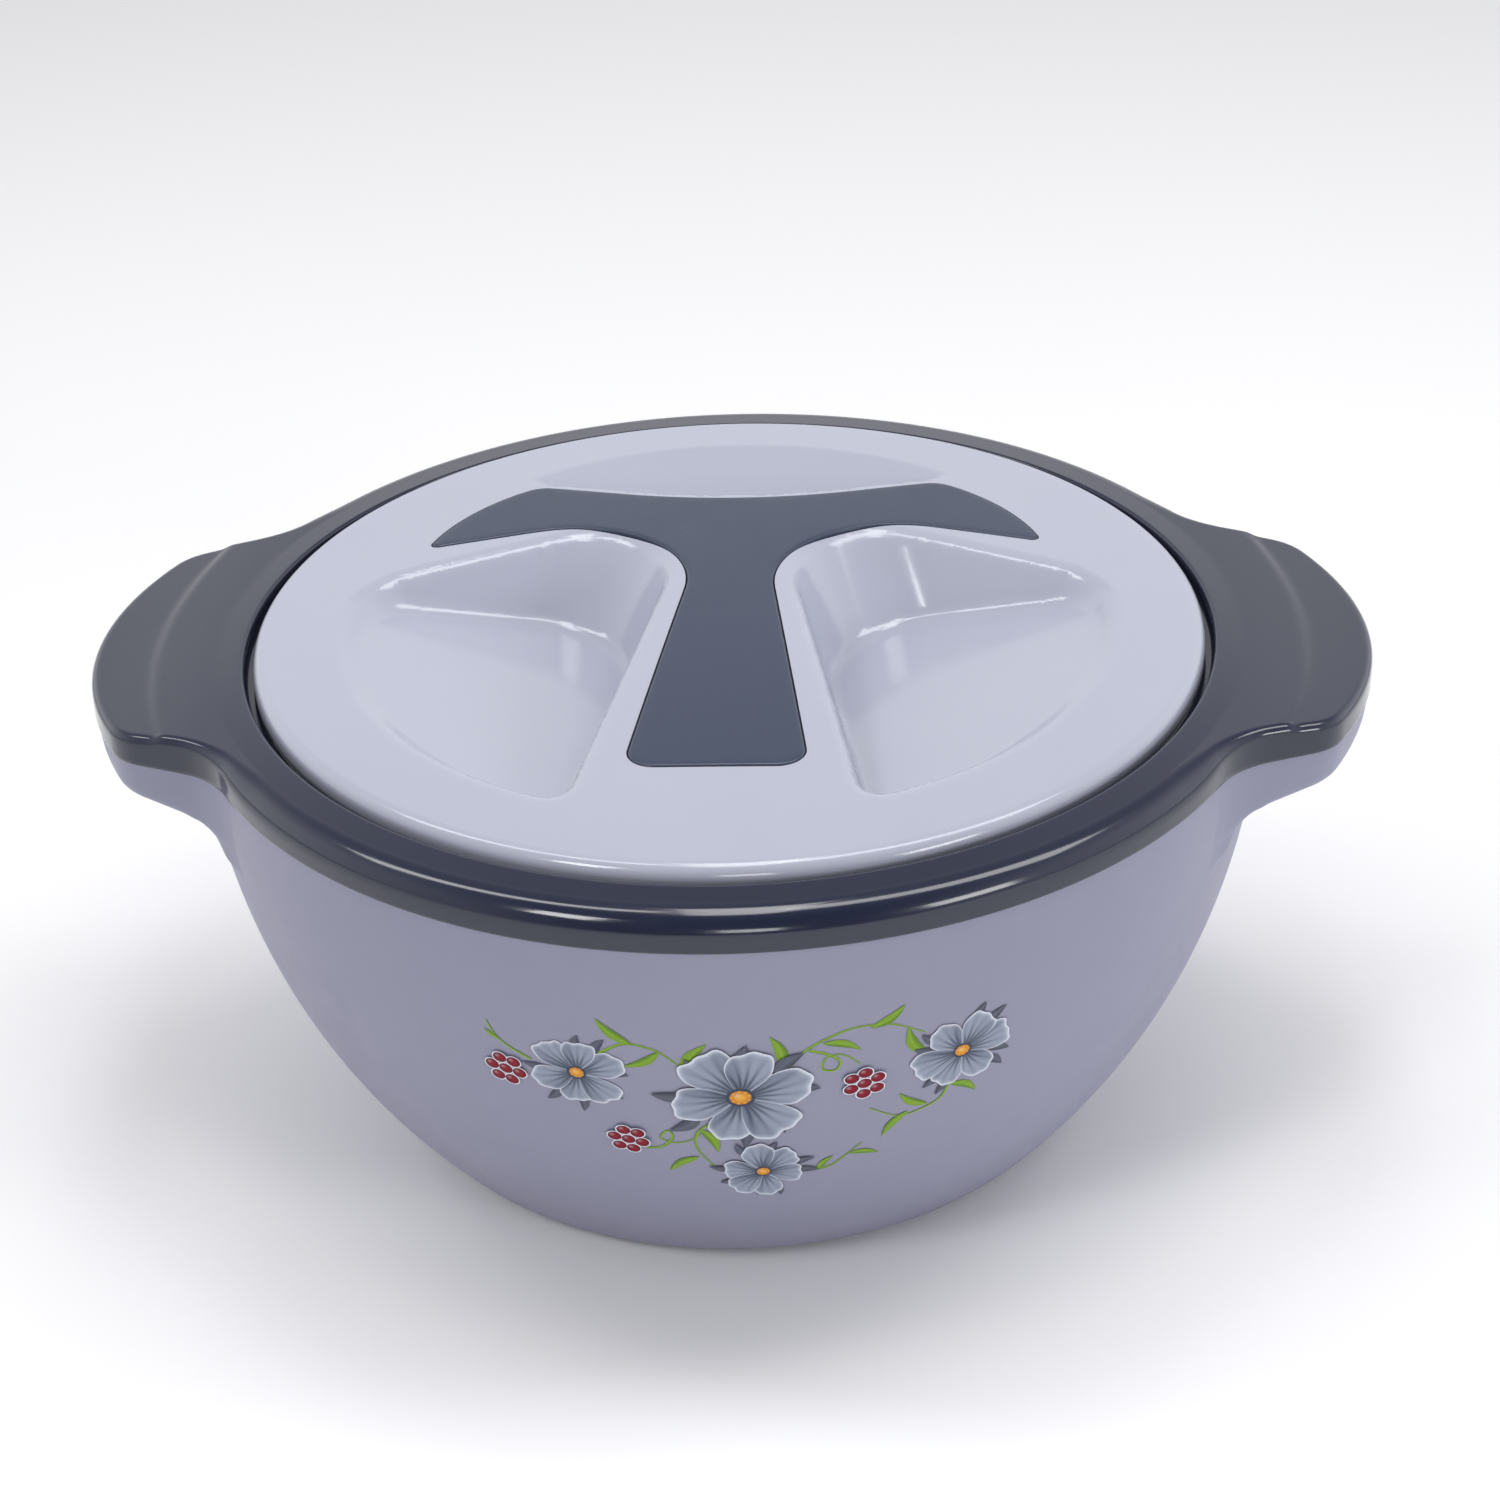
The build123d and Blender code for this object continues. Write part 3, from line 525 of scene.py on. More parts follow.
BAR_BACK_R = 136.6  # hollow arc of the grip's back, out to BAR_BACK_HALF
BAR_BACK_HALF = 34.0
BAR_BACK_DEPTH, BAR_BACK_SLOPE = 4.3, 0.255
EDGE_R = 3.6
DOME_BALL = (LID_R**2 + DOME**2) / (2 * DOME)
GRID_STEP = 1.0
SEAT_GAP = 0.32  # gap between the grip inlay and its seat
SEAT_CLEAR = 0.45  # room kept free of other points round the seat


def dome_height(x, y):
    """Height of the lid's crown over its edge."""
    return DOME - DOME_BALL + np.sqrt(DOME_BALL**2 - x * x - y * y)


def round_both(first, second, radius, lean=0.0):
    """Signed distance of a body inside two surfaces; lean is the cosine between their outward normals."""
    a, b = first + radius, second + radius
    corner = np.sqrt(np.maximum(a * a + b * b - 2 * lean * a * b, 0) / (1 - lean * lean))
    at_corner = (a > lean * b) & (b > lean * a)
    return np.where(at_corner, corner, np.maximum(a, b)) - radius


def wall_normal(wall, draft):
    """Outward normal of a well's wall along a plan line, leaning back by its draft in degrees."""
    (x0, y0), (x1, y1) = wall
    level = math.cos(math.radians(draft)) / math.hypot(x1 - x0, y1 - y0)
    return np.array([(y1 - y0) * level, -(x1 - x0) * level, -math.sin(math.radians(draft))])


def wall_distance(x, y, z, wall, draft):
    """Signed distance to such a wall, below zero on the well's side."""
    normal = wall_normal(wall, draft)
    return (x - wall[0][0]) * normal[0] + (y - wall[0][1]) * normal[1] + z * normal[2]


def well_distance(x, y, z):
    """Signed distance to one finger well (they mirror in x), below zero inside it."""
    x = np.abs(x)
    stem = wall_distance(x, y, z, WELL_STEM, WELL_STEM_DRAFT)
    arm = wall_distance(x, y, z, WELL_ARM, WELL_ARM_DRAFT)
    lean = math.radians(WELL_RIM_DRAFT)
    rim = (np.hypot(x, y) - WELL_RIM_R) * math.cos(lean) - z * math.sin(lean)
    p0, p1, p2 = (np.array(point) for point in WELL_FLOOR)
    normal = np.cross(p1 - p0, p2 - p0)
    normal = normal / np.linalg.norm(normal)
    normal = normal if normal[2] < 0 else -normal
    floor = (x - p0[0]) * normal[0] + (y - p0[1]) * normal[1] + (z - p0[2]) * normal[2]
    neck = float(wall_normal(WELL_STEM, WELL_STEM_DRAFT) @ wall_normal(WELL_ARM, WELL_ARM_DRAFT))
    walls = round_both(stem, arm, WELL_CORNER, neck)
    walls = round_both(walls, rim, WELL_END)
    return round_both(walls, floor, WELL_FLOOR_ROUND, 0.45)


def dish_distance(x, y, z):
    """Signed distance to the thumb dish behind the grip."""
    drop = math.sqrt(DISH_BALL**2 - DISH_R**2)
    ball = np.sqrt(x * x + (y - DISH_Y) ** 2 + (z - drop) ** 2) - DISH_BALL
    hollow = BAR_BACK_R - np.sqrt(BAR_BACK_R**2 - np.minimum(x * x, BAR_BACK_HALF**2))
    beyond = np.abs(x) - BAR_BACK_HALF
    bar = np.where(beyond < 0, hollow, BAR_BACK_DEPTH + BAR_BACK_SLOPE * beyond)
    front = (DISH_FRONT + bar - y) * 0.985 - DISH_FRONT_LEAN * z
    return round_both(ball, front, 2.5)


def lid_distance(x, y, z):
    """Signed distance to the lid's top, below zero inside the lid; z counts from the lid's edge."""
    crown = z - dome_height(x, y)
    solid = round_both(crown, -well_distance(x, y, z), WELL_LIP, 0.35)
    return round_both(solid, -dish_distance(x, y, z), DISH_LIP, 0.8)


def lid_surface(x, y):
    """Height of the lid's top at plan points, found by halving."""
    high = np.full_like(x, DOME + 1.0)
    low = np.full_like(x, -30.0)
    for _ in range(26):
        middle = (high + low) / 2
        inside = lid_distance(x, y, middle) <= 0
        low = np.where(inside, middle, low)
        high = np.where(inside, high, middle)
    return (low + high) / 2


def polar_grid(outer, step):
    """Rings of points from the middle out to a radius, with the faces between them."""
    rings = int(outer / step)
    columns = 8 * int(2 * math.pi * outer * 0.62 / step / 8)  # a multiple of 8
    radius = np.linspace(0, outer, rings + 1)[1:]
    angle = np.arange(columns) * 2 * math.pi / columns
    x = np.concatenate([[0.0], (radius[:, None] * np.cos(angle)).ravel()])
    y = np.concatenate([[0.0], (radius[:, None] * np.sin(angle)).ravel()])
    faces = [[0, 1 + i, 1 + (i + 1) % columns] for i in range(columns)]
    faces += grid_faces(rings, columns, first=1)
    return x, y, faces, rings, columns


def relax(x, y, rings, columns, rounds):
    """Even out the spacing along the surface, so that steep walls get their share of points."""
    shape = (rings, columns)
    for _ in range(rounds):
        z = lid_surface(x, y)
        points = np.stack([x[1:], y[1:], z[1:]], -1).reshape(*shape, 3)
        pull = np.zeros((rings, columns, 2))
        total = np.zeros((rings, columns, 1))
        middle = np.full_like(points[:1], (x[0], y[0], z[0]))
        neighbours = [
            np.roll(points, 1, axis=1), np.roll(points, -1, axis=1),
            np.concatenate([middle, points[:-1]]), np.concatenate([points[1:], points[-1:]]),
        ]
        for other in neighbours:
            edge = other - points
            weight = np.linalg.norm(edge, axis=-1, keepdims=True) ** 1.5 + 1e-6
            pull += edge[..., :2] * weight
            total += weight
        move = 0.7 * pull / total
        move[-1] = 0
        move[:6] *= np.linspace(0, 1, 6)[:, None, None]
        x = np.concatenate([x[:1], x[1:] + move[..., 0].ravel()])
        y = np.concatenate([y[:1], y[1:] + move[..., 1].ravel()])
    return x, y


def inside_plan(x, y, plan):
    """Whether plan points lie inside a closed outline."""
    inside = np.zeros(len(x), bool)
    for (x0, y0), (x1, y1) in zip(plan, np.roll(plan, -1, axis=0)):
        if y0 != y1:
            crosses = (y0 > y) != (y1 > y)
            inside ^= crosses & (x < x0 + (y - y0) * (x1 - x0) / (y1 - y0))
    return inside


def gap_to_plan(x, y, plan):
    """Distance of plan points from an outline's own points."""
    nearest = np.full(len(x), 1e9)
    for px, py in plan:
        nearest = np.minimum(nearest, (x - px) ** 2 + (y - py) ** 2)
    return np.sqrt(nearest)


def fill_plan(loose, loops):
    """Triangles over loose plan points and closed loops, keeping each loop's edges.

    Returns the plan points, the triangles and each loop's point numbers.
    """
    points, edges = [Vector(p) for p in loose], []
    for loop in loops:
        first = len(points)
        points += [Vector(p) for p in loop]
        edges += [(first + i, first + (i + 1) % len(loop)) for i in range(len(loop))]
    found, _, triangles, origins, _, _ = delaunay_2d_cdt(points, edges, [], 0, 1e-6)
    place = {}
    for new, old in enumerate(origins):
        for index in old:
            place[index] = new
    at, starts = len(loose), []
    for loop in loops:
        starts.append([place[at + i] for i in range(len(loop))])
        at += len(loop)
    return np.array([tuple(p) for p in found]), np.array(triangles), starts


def build_lid():
    """Lid top with its two wells, thumb dish, rolled edge and the sunk seat of the grip inlay."""
    x, y, _, rings, columns = polar_grid(LID_R - EDGE_R - 0.4, GRID_STEP)
    x, y = relax(x, y, rings, columns, 26)
    seat = inlay_plan(SEAT_GAP)[0]
    outer_ring = np.column_stack([x[-columns:], y[-columns:]])
    x, y = x[:-columns], y[:-columns]
    keep = (gap_to_plan(x, y, seat) > SEAT_CLEAR) & ~inside_plan(x, y, seat)
    plan, triangles, (ring, lip) = fill_plan(np.column_stack([x[keep], y[keep]]), [outer_ring, seat])
    middle = plan[triangles].mean(axis=1)
    triangles = triangles[~inside_plan(middle[:, 0], middle[:, 1], seat)]
    z = lid_surface(plan[:, 0], plan[:, 1])
    points = [np.column_stack([plan, LID_EDGE_Z + z])]
    faces = triangles.tolist()
    total = len(plan)
    heading = headings(np.arange(columns) * 2 * math.pi / columns)
    lip_z = LID_EDGE_Z + float(dome_height(LID_R - EDGE_R, 0.0))
    rows = [(LID_R - EDGE_R, lip_z)]
    for turn in np.linspace(0, math.pi / 2, 11)[1:]:
        rows.append((LID_R - EDGE_R + EDGE_R * math.sin(turn), lip_z - EDGE_R * (1 - math.cos(turn))))
    rows += [(LID_R, LID_EDGE_Z - 4.6), (LID_R, SKIRT_Z + 0.3), (LID_R - 0.3, SKIRT_Z)]
    rows += [(LID_R - SKIN + 0.2, SKIRT_Z), (LID_R - SKIN, SKIRT_Z + 0.2), (LID_R - SKIN, LID_EDGE_Z - 2.9)]
    for radius, height in rows:
        points.append(level_row(heading * radius, height))
        below = list(range(total, total + columns))
        faces += join_rings(ring, below)
        total += columns
        ring = below
    seat_top = np.column_stack([seat, LID_EDGE_Z + lid_surface(seat[:, 0], seat[:, 1]) - 0.12])
    for row in (seat_top, level_row(seat, LID_EDGE_Z - 1.9)):
        points.append(row)
        below = list(range(total, total + len(seat)))
        faces += join_rings(lip, below)
        total += len(seat)
        lip = below
    faces.append(lip)
    under_x, under_y, under_faces, _, _ = polar_grid(LID_R - SKIN - 1.0, 1.6)
    under_z = np.minimum(lid_surface(under_x, under_y), 0.4) - SKIN - 0.5
    points.append(np.column_stack([under_x, under_y, LID_EDGE_Z + under_z]))
    faces += [[total + v for v in face[::-1]] for face in under_faces]
    lid = make_object("lid_top", np.concatenate(points), faces, LIGHT_LID)
    face_outward(lid)
    lid.data.set_sharp_from_angle(angle=math.radians(50))
    return lid


# ---- grip inlay ------------------------------------------------------------------------------
STEM_END = -80.8
STEM_HALF = 22.9
NECK_CORNER = (6.0, 63.6)  # where the stem's side and the arm's front would meet
ARM_TIP = (84.9, 40.7)
ARM_END_BULGE = (75.0, 61.5)
ARM_SHOULDER = (57.0, 79.0)
ARM_BACK = (34.0, 73.3)
BACK_VALLEY = 69.0
INLAY_ROUND = 0.9


def arc_through(a, b, c, count):
    """Points of the arc through three plan points, the last one left out."""
    (ax, ay), (bx, by), (cx, cy) = a, b, c
    d = 2 * (ax * (by - cy) + bx * (cy - ay) + cx * (ay - by))
    a2, b2, c2 = ax**2 + ay**2, bx**2 + by**2, cx**2 + cy**2
    ux = (a2 * (by - cy) + b2 * (cy - ay) + c2 * (ay - by)) / d
    uy = (a2 * (cx - bx) + b2 * (ax - cx) + c2 * (bx - ax)) / d
    radius = math.hypot(ax - ux, ay - uy)
    first = math.atan2(ay - uy, ax - ux)
    middle = math.atan2(by - uy, bx - ux)
    last = math.atan2(cy - uy, cx - ux)
    turn = (middle - first + math.pi) % (2 * math.pi) - math.pi
    turn += (last - middle + math.pi) % (2 * math.pi) - math.pi
    angles = [first + turn * k / count for k in range(count)]
    return [(ux + radius * math.cos(angle), uy + radius * math.sin(angle)) for angle in angles]


def rounded_corner(before, corner, after, radius, count):
    """Points of the rounding at a corner between two straight sides."""
    a, b, c = (np.array(p, float) for p in (before, corner, after))
    u, v = (a - b) / np.linalg.norm(a - b), (c - b) / np.linalg.norm(c - b)
    half = math.acos(np.clip(u @ v, -1, 1)) / 2
    reach = radius / math.tan(half)
    centre = b + (u + v) / np.linalg.norm(u + v) * radius / math.sin(half)
    start, stop = b + u * reach - centre, b + v * reach - centre
    first = math.atan2(start[1], start[0])
    turn = (math.atan2(stop[1], stop[0]) - first + math.pi) % (2 * math.pi) - math.pi
    angles = [first + turn * k / count for k in range(count + 1)]
    return [(centre[0] + radius * math.cos(angle), centre[1] + radius * math.sin(angle)) for angle in angles]


def inlay_plan(grow, spacing=0.8):
    """Plan outline of the grip inlay, grown outwards, as evenly spaced points with their normals."""
    stem = (STEM_HALF, STEM_END)
    right = [(0.0, STEM_END)]
    right += rounded_corner((0, STEM_END), stem, NECK_CORNER, 7.0, 10)
    right += rounded_corner(stem, NECK_CORNER, ARM_TIP, 34.0, 30)
    tip_arc = arc_through(ARM_TIP, ARM_END_BULGE, ARM_SHOULDER, 20) + [ARM_SHOULDER]
    right += rounded_corner(NECK_CORNER, ARM_TIP, tip_arc[2], 1.6, 8)
    right += tip_arc[3:18]
    right += rounded_corner(tip_arc[17], ARM_SHOULDER, ARM_BACK, 8.0, 8)
    back_arc = arc_through(ARM_BACK, (0, BACK_VALLEY), (-ARM_BACK[0], ARM_BACK[1]), 40)
    right += [point for point in back_arc if point[0] > 0]
    right += [(0.0, BACK_VALLEY)]
    left = [(-px, py) for px, py in right[1:-1][::-1]]
    loop = np.array(right + left)
    step = np.linalg.norm(np.roll(loop, -1, axis=0) - loop, axis=1)
    along = np.concatenate([[0], np.cumsum(step)])
    closed = np.vstack([loop, loop[:1]])
    places = np.linspace(0, along[-1], int(along[-1] / spacing), endpoint=False)
    even = np.column_stack([np.interp(places, along, closed[:, 0]), np.interp(places, along, closed[:, 1])])
    tangent = np.roll(even, -1, axis=0) - np.roll(even, 1, axis=0)
    normal = np.column_stack([tangent[:, 1], -tangent[:, 0]])
    normal /= np.linalg.norm(normal, axis=1, keepdims=True)
    return even + normal * grow, normal


def build_inlay():
    """T-shaped bar with a softly rounded upper edge, following the lid's crown."""
    plan, normal = inlay_plan(0.0)
    count = len(plan)
    points = [level_row(plan, LID_EDGE_Z - 1.8)]
    for turn in np.linspace(0, math.pi / 2, 8):
        ring = plan - normal * (INLAY_ROUND * (1 - math.cos(turn)))
        top = LID_EDGE_Z + dome_height(ring[:, 0], ring[:, 1]) + INLAY_PROUD
        points.append(np.column_stack([ring, top - INLAY_ROUND * (1 - math.sin(turn))]))
    rows = len(points)
    faces = grid_faces(rows, count)
    faces.append(list(range(count))[::-1])
    grid = np.meshgrid(np.arange(-84.0, 85.0, 2.0), np.arange(-80.0, 80.0, 2.0))
    grid_x, grid_y = (side.ravel() for side in grid)
    keep = inside_plan(grid_x, grid_y, ring) & (gap_to_plan(grid_x, grid_y, ring) > 1.1)
    flat, triangles, (rim,) = fill_plan(np.column_stack([grid_x[keep], grid_y[keep]]), [ring])
    middle = flat[triangles].mean(axis=1)
    triangles = triangles[inside_plan(middle[:, 0], middle[:, 1], ring)]
    place = np.arange(len(flat)) + rows * count
    place[rim] = (rows - 1) * count + np.arange(count)
    points.append(np.column_stack([flat, LID_EDGE_Z + dome_height(flat[:, 0], flat[:, 1]) + INLAY_PROUD]))
    faces += place[triangles].tolist()
    inlay = make_object("grip_inlay", np.concatenate(points), faces, DARK_INLAY)
    drop_loose(inlay)
    face_outward(inlay)
    inlay.data.set_sharp_from_angle(angle=math.radians(50))
    return inlay


# ---- print on the front of the shell ---------------------------------------------------------
INK_LIFT = 0.10
LAYER_LIFT = 0.0035
PRINT_Z = 70.0
PRINT_R = 132.0
PRINT_SLANT = 0.93

WHITE = (0.74, 0.77, 0.86)
PETAL_LIGHT = (0.30, 0.34, 0.43)
PETAL_MID = (0.085, 0.105, 0.155)
PETAL_DARK = (0.045, 0.058, 0.09)
LEAF_DARK = (0.060, 0.068, 0.10)
LEAF_GREY = (0.13, 0.145, 0.19)
GREEN = (0.27, 0.44, 0.035)
GREEN_DARK = (0.11, 0.22, 0.02)
GOLD = (0.80, 0.42, 0.05)
GOLD_DARK = (0.52, 0.16, 0.02)
BERRY = (0.26, 0.002, 0.014)
BERRY_DARK = (0.12, 0.003, 0.012)
BERRY_R = 1.75


def on_shell(u, v, lift):
    """Place print coordinates (millimetres across and up, about the front) on the shell's side."""
    height = PRINT_Z + np.asarray(v, float) * PRINT_SLANT
    radius = side_radius(height)
    angle = np.asarray(u, float) / PRINT_R - math.pi / 2
    rise = (RIM_Z - height) / SIDE_R
    flat = np.sqrt(1 - rise**2)
    out = radius + lift * flat
    return np.stack([out * np.cos(angle), out * np.sin(angle), height - lift * rise], -1)


class InkSheet:
    """Collects coloured patches of the print, in the order in which they are printed."""

    def __init__(self):
        self.points, self.faces, self.colors, self.layer = [], [], [], 0

    def patch(self, grid_uv, grid_color):
        rows, columns = grid_uv.shape[:2]
        first = sum(len(p) for p in self.points)
        self.layer += 1
        lift = INK_LIFT + LAYER_LIFT * self.layer
        self.points.append(on_shell(grid_uv[..., 0].ravel(), grid_uv[..., 1].ravel(), lift))
        self.faces += grid_faces(rows, columns, closed=False, first=first)
        self.colors.append(grid_color.reshape(-1, 3))

    def build(self, name):
        obj = make_object(name, np.concatenate(self.points), self.faces, PRINT_INK)
        ink = obj.data.color_attributes.new("ink", "FLOAT_COLOR", "POINT")
        colors = np.concatenate(self.colors)
        colors = np.column_stack([colors, np.ones(len(colors))])
        ink.data.foreach_set("color", colors.astype(np.float32).ravel())
        return obj


def blend_color(a, b, share):
    """Colours from a to b, one for each share."""
    share = np.asarray(share)[..., None]
    return np.array(a) * (1 - share) + np.array(b) * share


def around(centre, radius, angle, tall=1.0):
    """Print coordinates at radii and angles about a centre."""
    return np.stack([centre[0] + radius * np.cos(angle), centre[1] + tall * radius * np.sin(angle)], -1)


def petal(sheet, centre, length, spread, angle, seed):
    """A broad petal: a fan with a lobed tip, thin white edge, dark throat and fine radial veins."""
    out = np.linspace(0, 1, 17)[:, None]
    across = np.sin(np.linspace(-math.pi / 2, math.pi / 2, 33))[None, :]
    lobe = (1 - np.abs(across) ** 3.2) ** 0.42
    uneven = 0.045 * np.sin(4.5 * across + 2 * seed) + 0.02 * np.sin(13 * across + seed)
    reach = length * lobe * (1 + uneven)
    turn = angle + spread * across * (0.62 + 0.38 * out**0.8)
    uv = around(centre, reach * out, turn, 1.05)
    vein = (0.5 + 0.5 * np.sin(15 * across + seed + np.sin(3 * out + seed))) ** 2
    fold = smooth_step(across * (1 if math.sin(7 * seed) > 0 else -1), -0.1, 1.0)
    shade = 0.75 * fold * (1 - 0.4 * out) + 0.60 * vein * (1 - out) + 0.15 * vein + 0.25 * (1 - out)
    color = blend_color(PETAL_LIGHT, PETAL_MID, np.clip(shade, 0, 1))
    throat = smooth_step(0.52 - out + 0.22 * vein, 0.0, 0.42)[..., None]
    color = color * (1 - 0.85 * throat) + np.array(PETAL_DARK) * 0.85 * throat
    edge = smooth_step(out + 0 * across, 0.925, 0.975)[..., None]
    color = color * (1 - edge) + np.array(WHITE) * edge
    sheet.patch(uv, color)


def leaf(sheet, start, stop, width, bend, dark, light):
    """A pointed leaf between two points, bent sideways, with a pale middle rib."""
    a, b = np.array(start, float), np.array(stop, float)
    along = np.linspace(0, 1, 13)[:, None]
    across = np.linspace(-1, 1, 7)[None, :]
    run = b - a
    side = np.array([-run[1], run[0]]) / np.linalg.norm(run)
    half = width / 2 * np.sin(np.pi * along**0.8) ** 0.9
    middle = a + along[..., None] * run + (bend * np.sin(np.pi * along))[..., None] * side
    uv = middle + (half * across)[..., None] * side
    rib = np.exp(-(across * 3.2) ** 2) * (1 + 0 * along)
    color = blend_color(dark, light, np.clip(0.25 + 0.3 * across + 0.5 * rib, 0, 1))
    sheet.patch(uv, color)


def vine(sheet, points, width, color_a, color_b):
    """A smooth stem through given points, thinner towards its end."""
    knots = np.array(points, float)
    padded = np.vstack([2 * knots[0] - knots[1], knots, 2 * knots[-1] - knots[-2]])
    path = []
    for p0, p1, p2, p3 in zip(padded, padded[1:], padded[2:], padded[3:]):
        for t in np.linspace(0, 1, 9)[:-1]:
            path.append(0.5 * (2 * p1 + (p2 - p0) * t + (2 * p0 - 5 * p1 + 4 * p2 - p3) * t**2
                               + (3 * p1 - p0 - 3 * p2 + p3) * t**3))
    path = np.array(path + [knots[-1]])
    tangent = np.gradient(path, axis=0)
    tangent /= np.linalg.norm(tangent, axis=1, keepdims=True)
    side = np.column_stack([-tangent[:, 1], tangent[:, 0]])
    share = np.linspace(0, 1, len(path))
    half = width / 2 * (1 - 0.55 * share)
    across = np.array([-1.0, 0.0, 1.0])
    uv = path[:, None] + side[:, None] * (half[:, None] * across)[..., None]
    color = blend_color(color_a, color_b, np.tile(0.5 + 0.5 * across, (len(path), 1)))
    sheet.patch(uv, color)


def disc(sheet, centre, radius, inner, outer, glint=0.0):
    """A round spot shaded from its middle to its edge, with an optional glint."""
    share = np.linspace(0, 1, 6)[:, None]
    angle = np.linspace(0, 2 * math.pi, 19)[None, :]
    uv = around(centre, radius * share, angle)
    color = blend_color(inner, outer, share**1.5 + 0 * angle)
    off_glint = (share * np.cos(angle) + 0.35) ** 2 + (share * np.sin(angle) - 0.35) ** 2
    spot = glint * np.exp(-off_glint * 14)
    color = color * (1 - spot[..., None]) + np.array(WHITE) * spot[..., None]
    sheet.patch(uv, color)


def flower(sheet, centre, size, petals, turn, seed):
    """Dark leaves behind, broad overlapping petals, and a gold centre."""
    centre = np.array(centre, float)
    for k in range(8):
        angle = turn + 0.5 + k * 2 * math.pi / 8 + 0.22 * math.sin(3 * k + seed)
        reach = size * (1.22 + 0.12 * math.sin(5 * k + seed))
        tip = centre + reach * np.array([math.cos(angle), math.sin(angle)])
        leaf(sheet, centre + 0.55 * (tip - centre), tip, size * 0.22, size * 0.05, LEAF_DARK, LEAF_GREY)
    every_other = [(k * 2) % petals + (k * 2) // petals for k in range(petals)]
    for k in every_other:
        angle = turn + k * 2 * math.pi / petals + 0.12 * math.sin(2 * k + seed)
        petal(sheet, centre, size * (1 + 0.07 * math.sin(4 * k + seed)), math.radians(37), angle, seed + k)
    disc(sheet, centre, size * 0.21, PETAL_DARK, PETAL_DARK)
    disc(sheet, centre, size * 0.155, GOLD, GOLD_DARK, 0.3)
    for k in range(9):
        angle = k * 2 * math.pi / 9 + seed
        spot = centre + size * 0.125 * np.array([math.cos(angle), math.sin(angle)])
        disc(sheet, spot, size * 0.034, GOLD, GOLD_DARK)


def berries(sheet, centre, radius, lean):
    """A bunch of seven berries in three rows, each with a white rim and a glint."""
    c, s = math.cos(lean), math.sin(lean)
    spots = []
    for row, count in ((1, 2), (0, 3), (-1, 2)):
        for k in range(count):
            across, up = (k - (count - 1) / 2) * 2.0 * radius, row * 1.95 * radius
            spots.append((centre[0] + across * c - up * s, centre[1] + across * s + up * c))
    for spot in spots:
        disc(sheet, spot, radius * 1.16, WHITE, WHITE)
    for spot in spots:
        disc(sheet, spot, radius, BERRY, BERRY_DARK, 0.3)


def build_print():
    """A garland of four grey-blue flowers with green vines and three bunches of berries."""
    sheet = InkSheet()
    for path in (
        ((-43, 20), (-48, 23), (-51, 26), (-53, 31)), ((-26, 26), (-20, 30), (-14, 29), (-10, 26), (-6, 21)),
        ((17, 21), (21, 27), (27, 31), (33, 33), (41, 32), (49, 27)),
        ((22, 27), (26, 25), (29, 22), (28, 19), (25, 20), (26, 24), (30, 24), (34, 20)),
        ((57, 6), (55, 0), (49, -3), (44, -3), (37, 2)), ((22, -22), (28, -21), (32, -17), (36, -12)),
        ((-18, -10), (-14, -9), (-11, -5), (-12, -2), (-14, -5), (-11, -7), (-7, -6), (-4, -3)),
        ((-1, 2), (-5, -3), (-5, -10), (-1, -18)),
    ):
        vine(sheet, path, 0.85, GREEN_DARK, GREEN)
    for start, stop, width, bend in (
        ((-50, 25), (-54, 28), 1.4, 0.3), ((-18, 30), (-26, 38), 2.7, 1.0), ((-12, 28), (-21, 22), 2.5, 1.2),
        ((-7, 21), (-1, 31), 3.0, 1.2), ((16, 22), (13, 33), 2.9, -1.0), ((25, 29), (34, 25), 2.4, 1.1),
        ((36, 32), (44, 38), 2.6, -1.0), ((50, 19), (45, 30), 3.0, 1.4), ((57, 5), (65, -1), 2.4, 1.2),
        ((52, -1), (44, 6), 2.4, 1.1), ((47, -2), (41, -11), 2.6, -1.0), ((-4, -1), (0, -11), 2.8, 1.1),
        ((-5, -13), (-13, -20), 2.6, -1.0), ((25, -22), (29, -16), 2.0, 0.6),
        ((33, -16), (41, -18), 2.0, 0.8),
    ):
        leaf(sheet, start, stop, width, bend, GREEN_DARK, GREEN)
    for centre, size, turn, seed in (
        ((-32, 18), 11.4, 0.35, 1.0), ((59, 17), 12.0, 0.15, 2.2),
        ((11, -20), 11.0, 0.80, 3.1), ((6, 12), 16.6, 0.22, 0.3),
    ):
        flower(sheet, centre, size, 6, turn, seed)
    for centre, lean in (((-50, 15), -0.2), ((35, 13), 0.45), ((-22, -6), -0.25)):
        berries(sheet, centre, BERRY_R, lean)
    return sheet.build("flower_print")


# ---- camera, light and floor -----------------------------------------------------------------
VIEW_TURN = math.radians(3.2)  # how far the object is turned from facing the camera
VIEW_DISTANCE = 887.57  # from the middle of the lid's edge plane
VIEW_RISE = math.radians(27.7495)
VIEW_ROLL = math.radians(-2.0216)
VIEW_AIM = np.array([4.583, 0.0, -41.063])


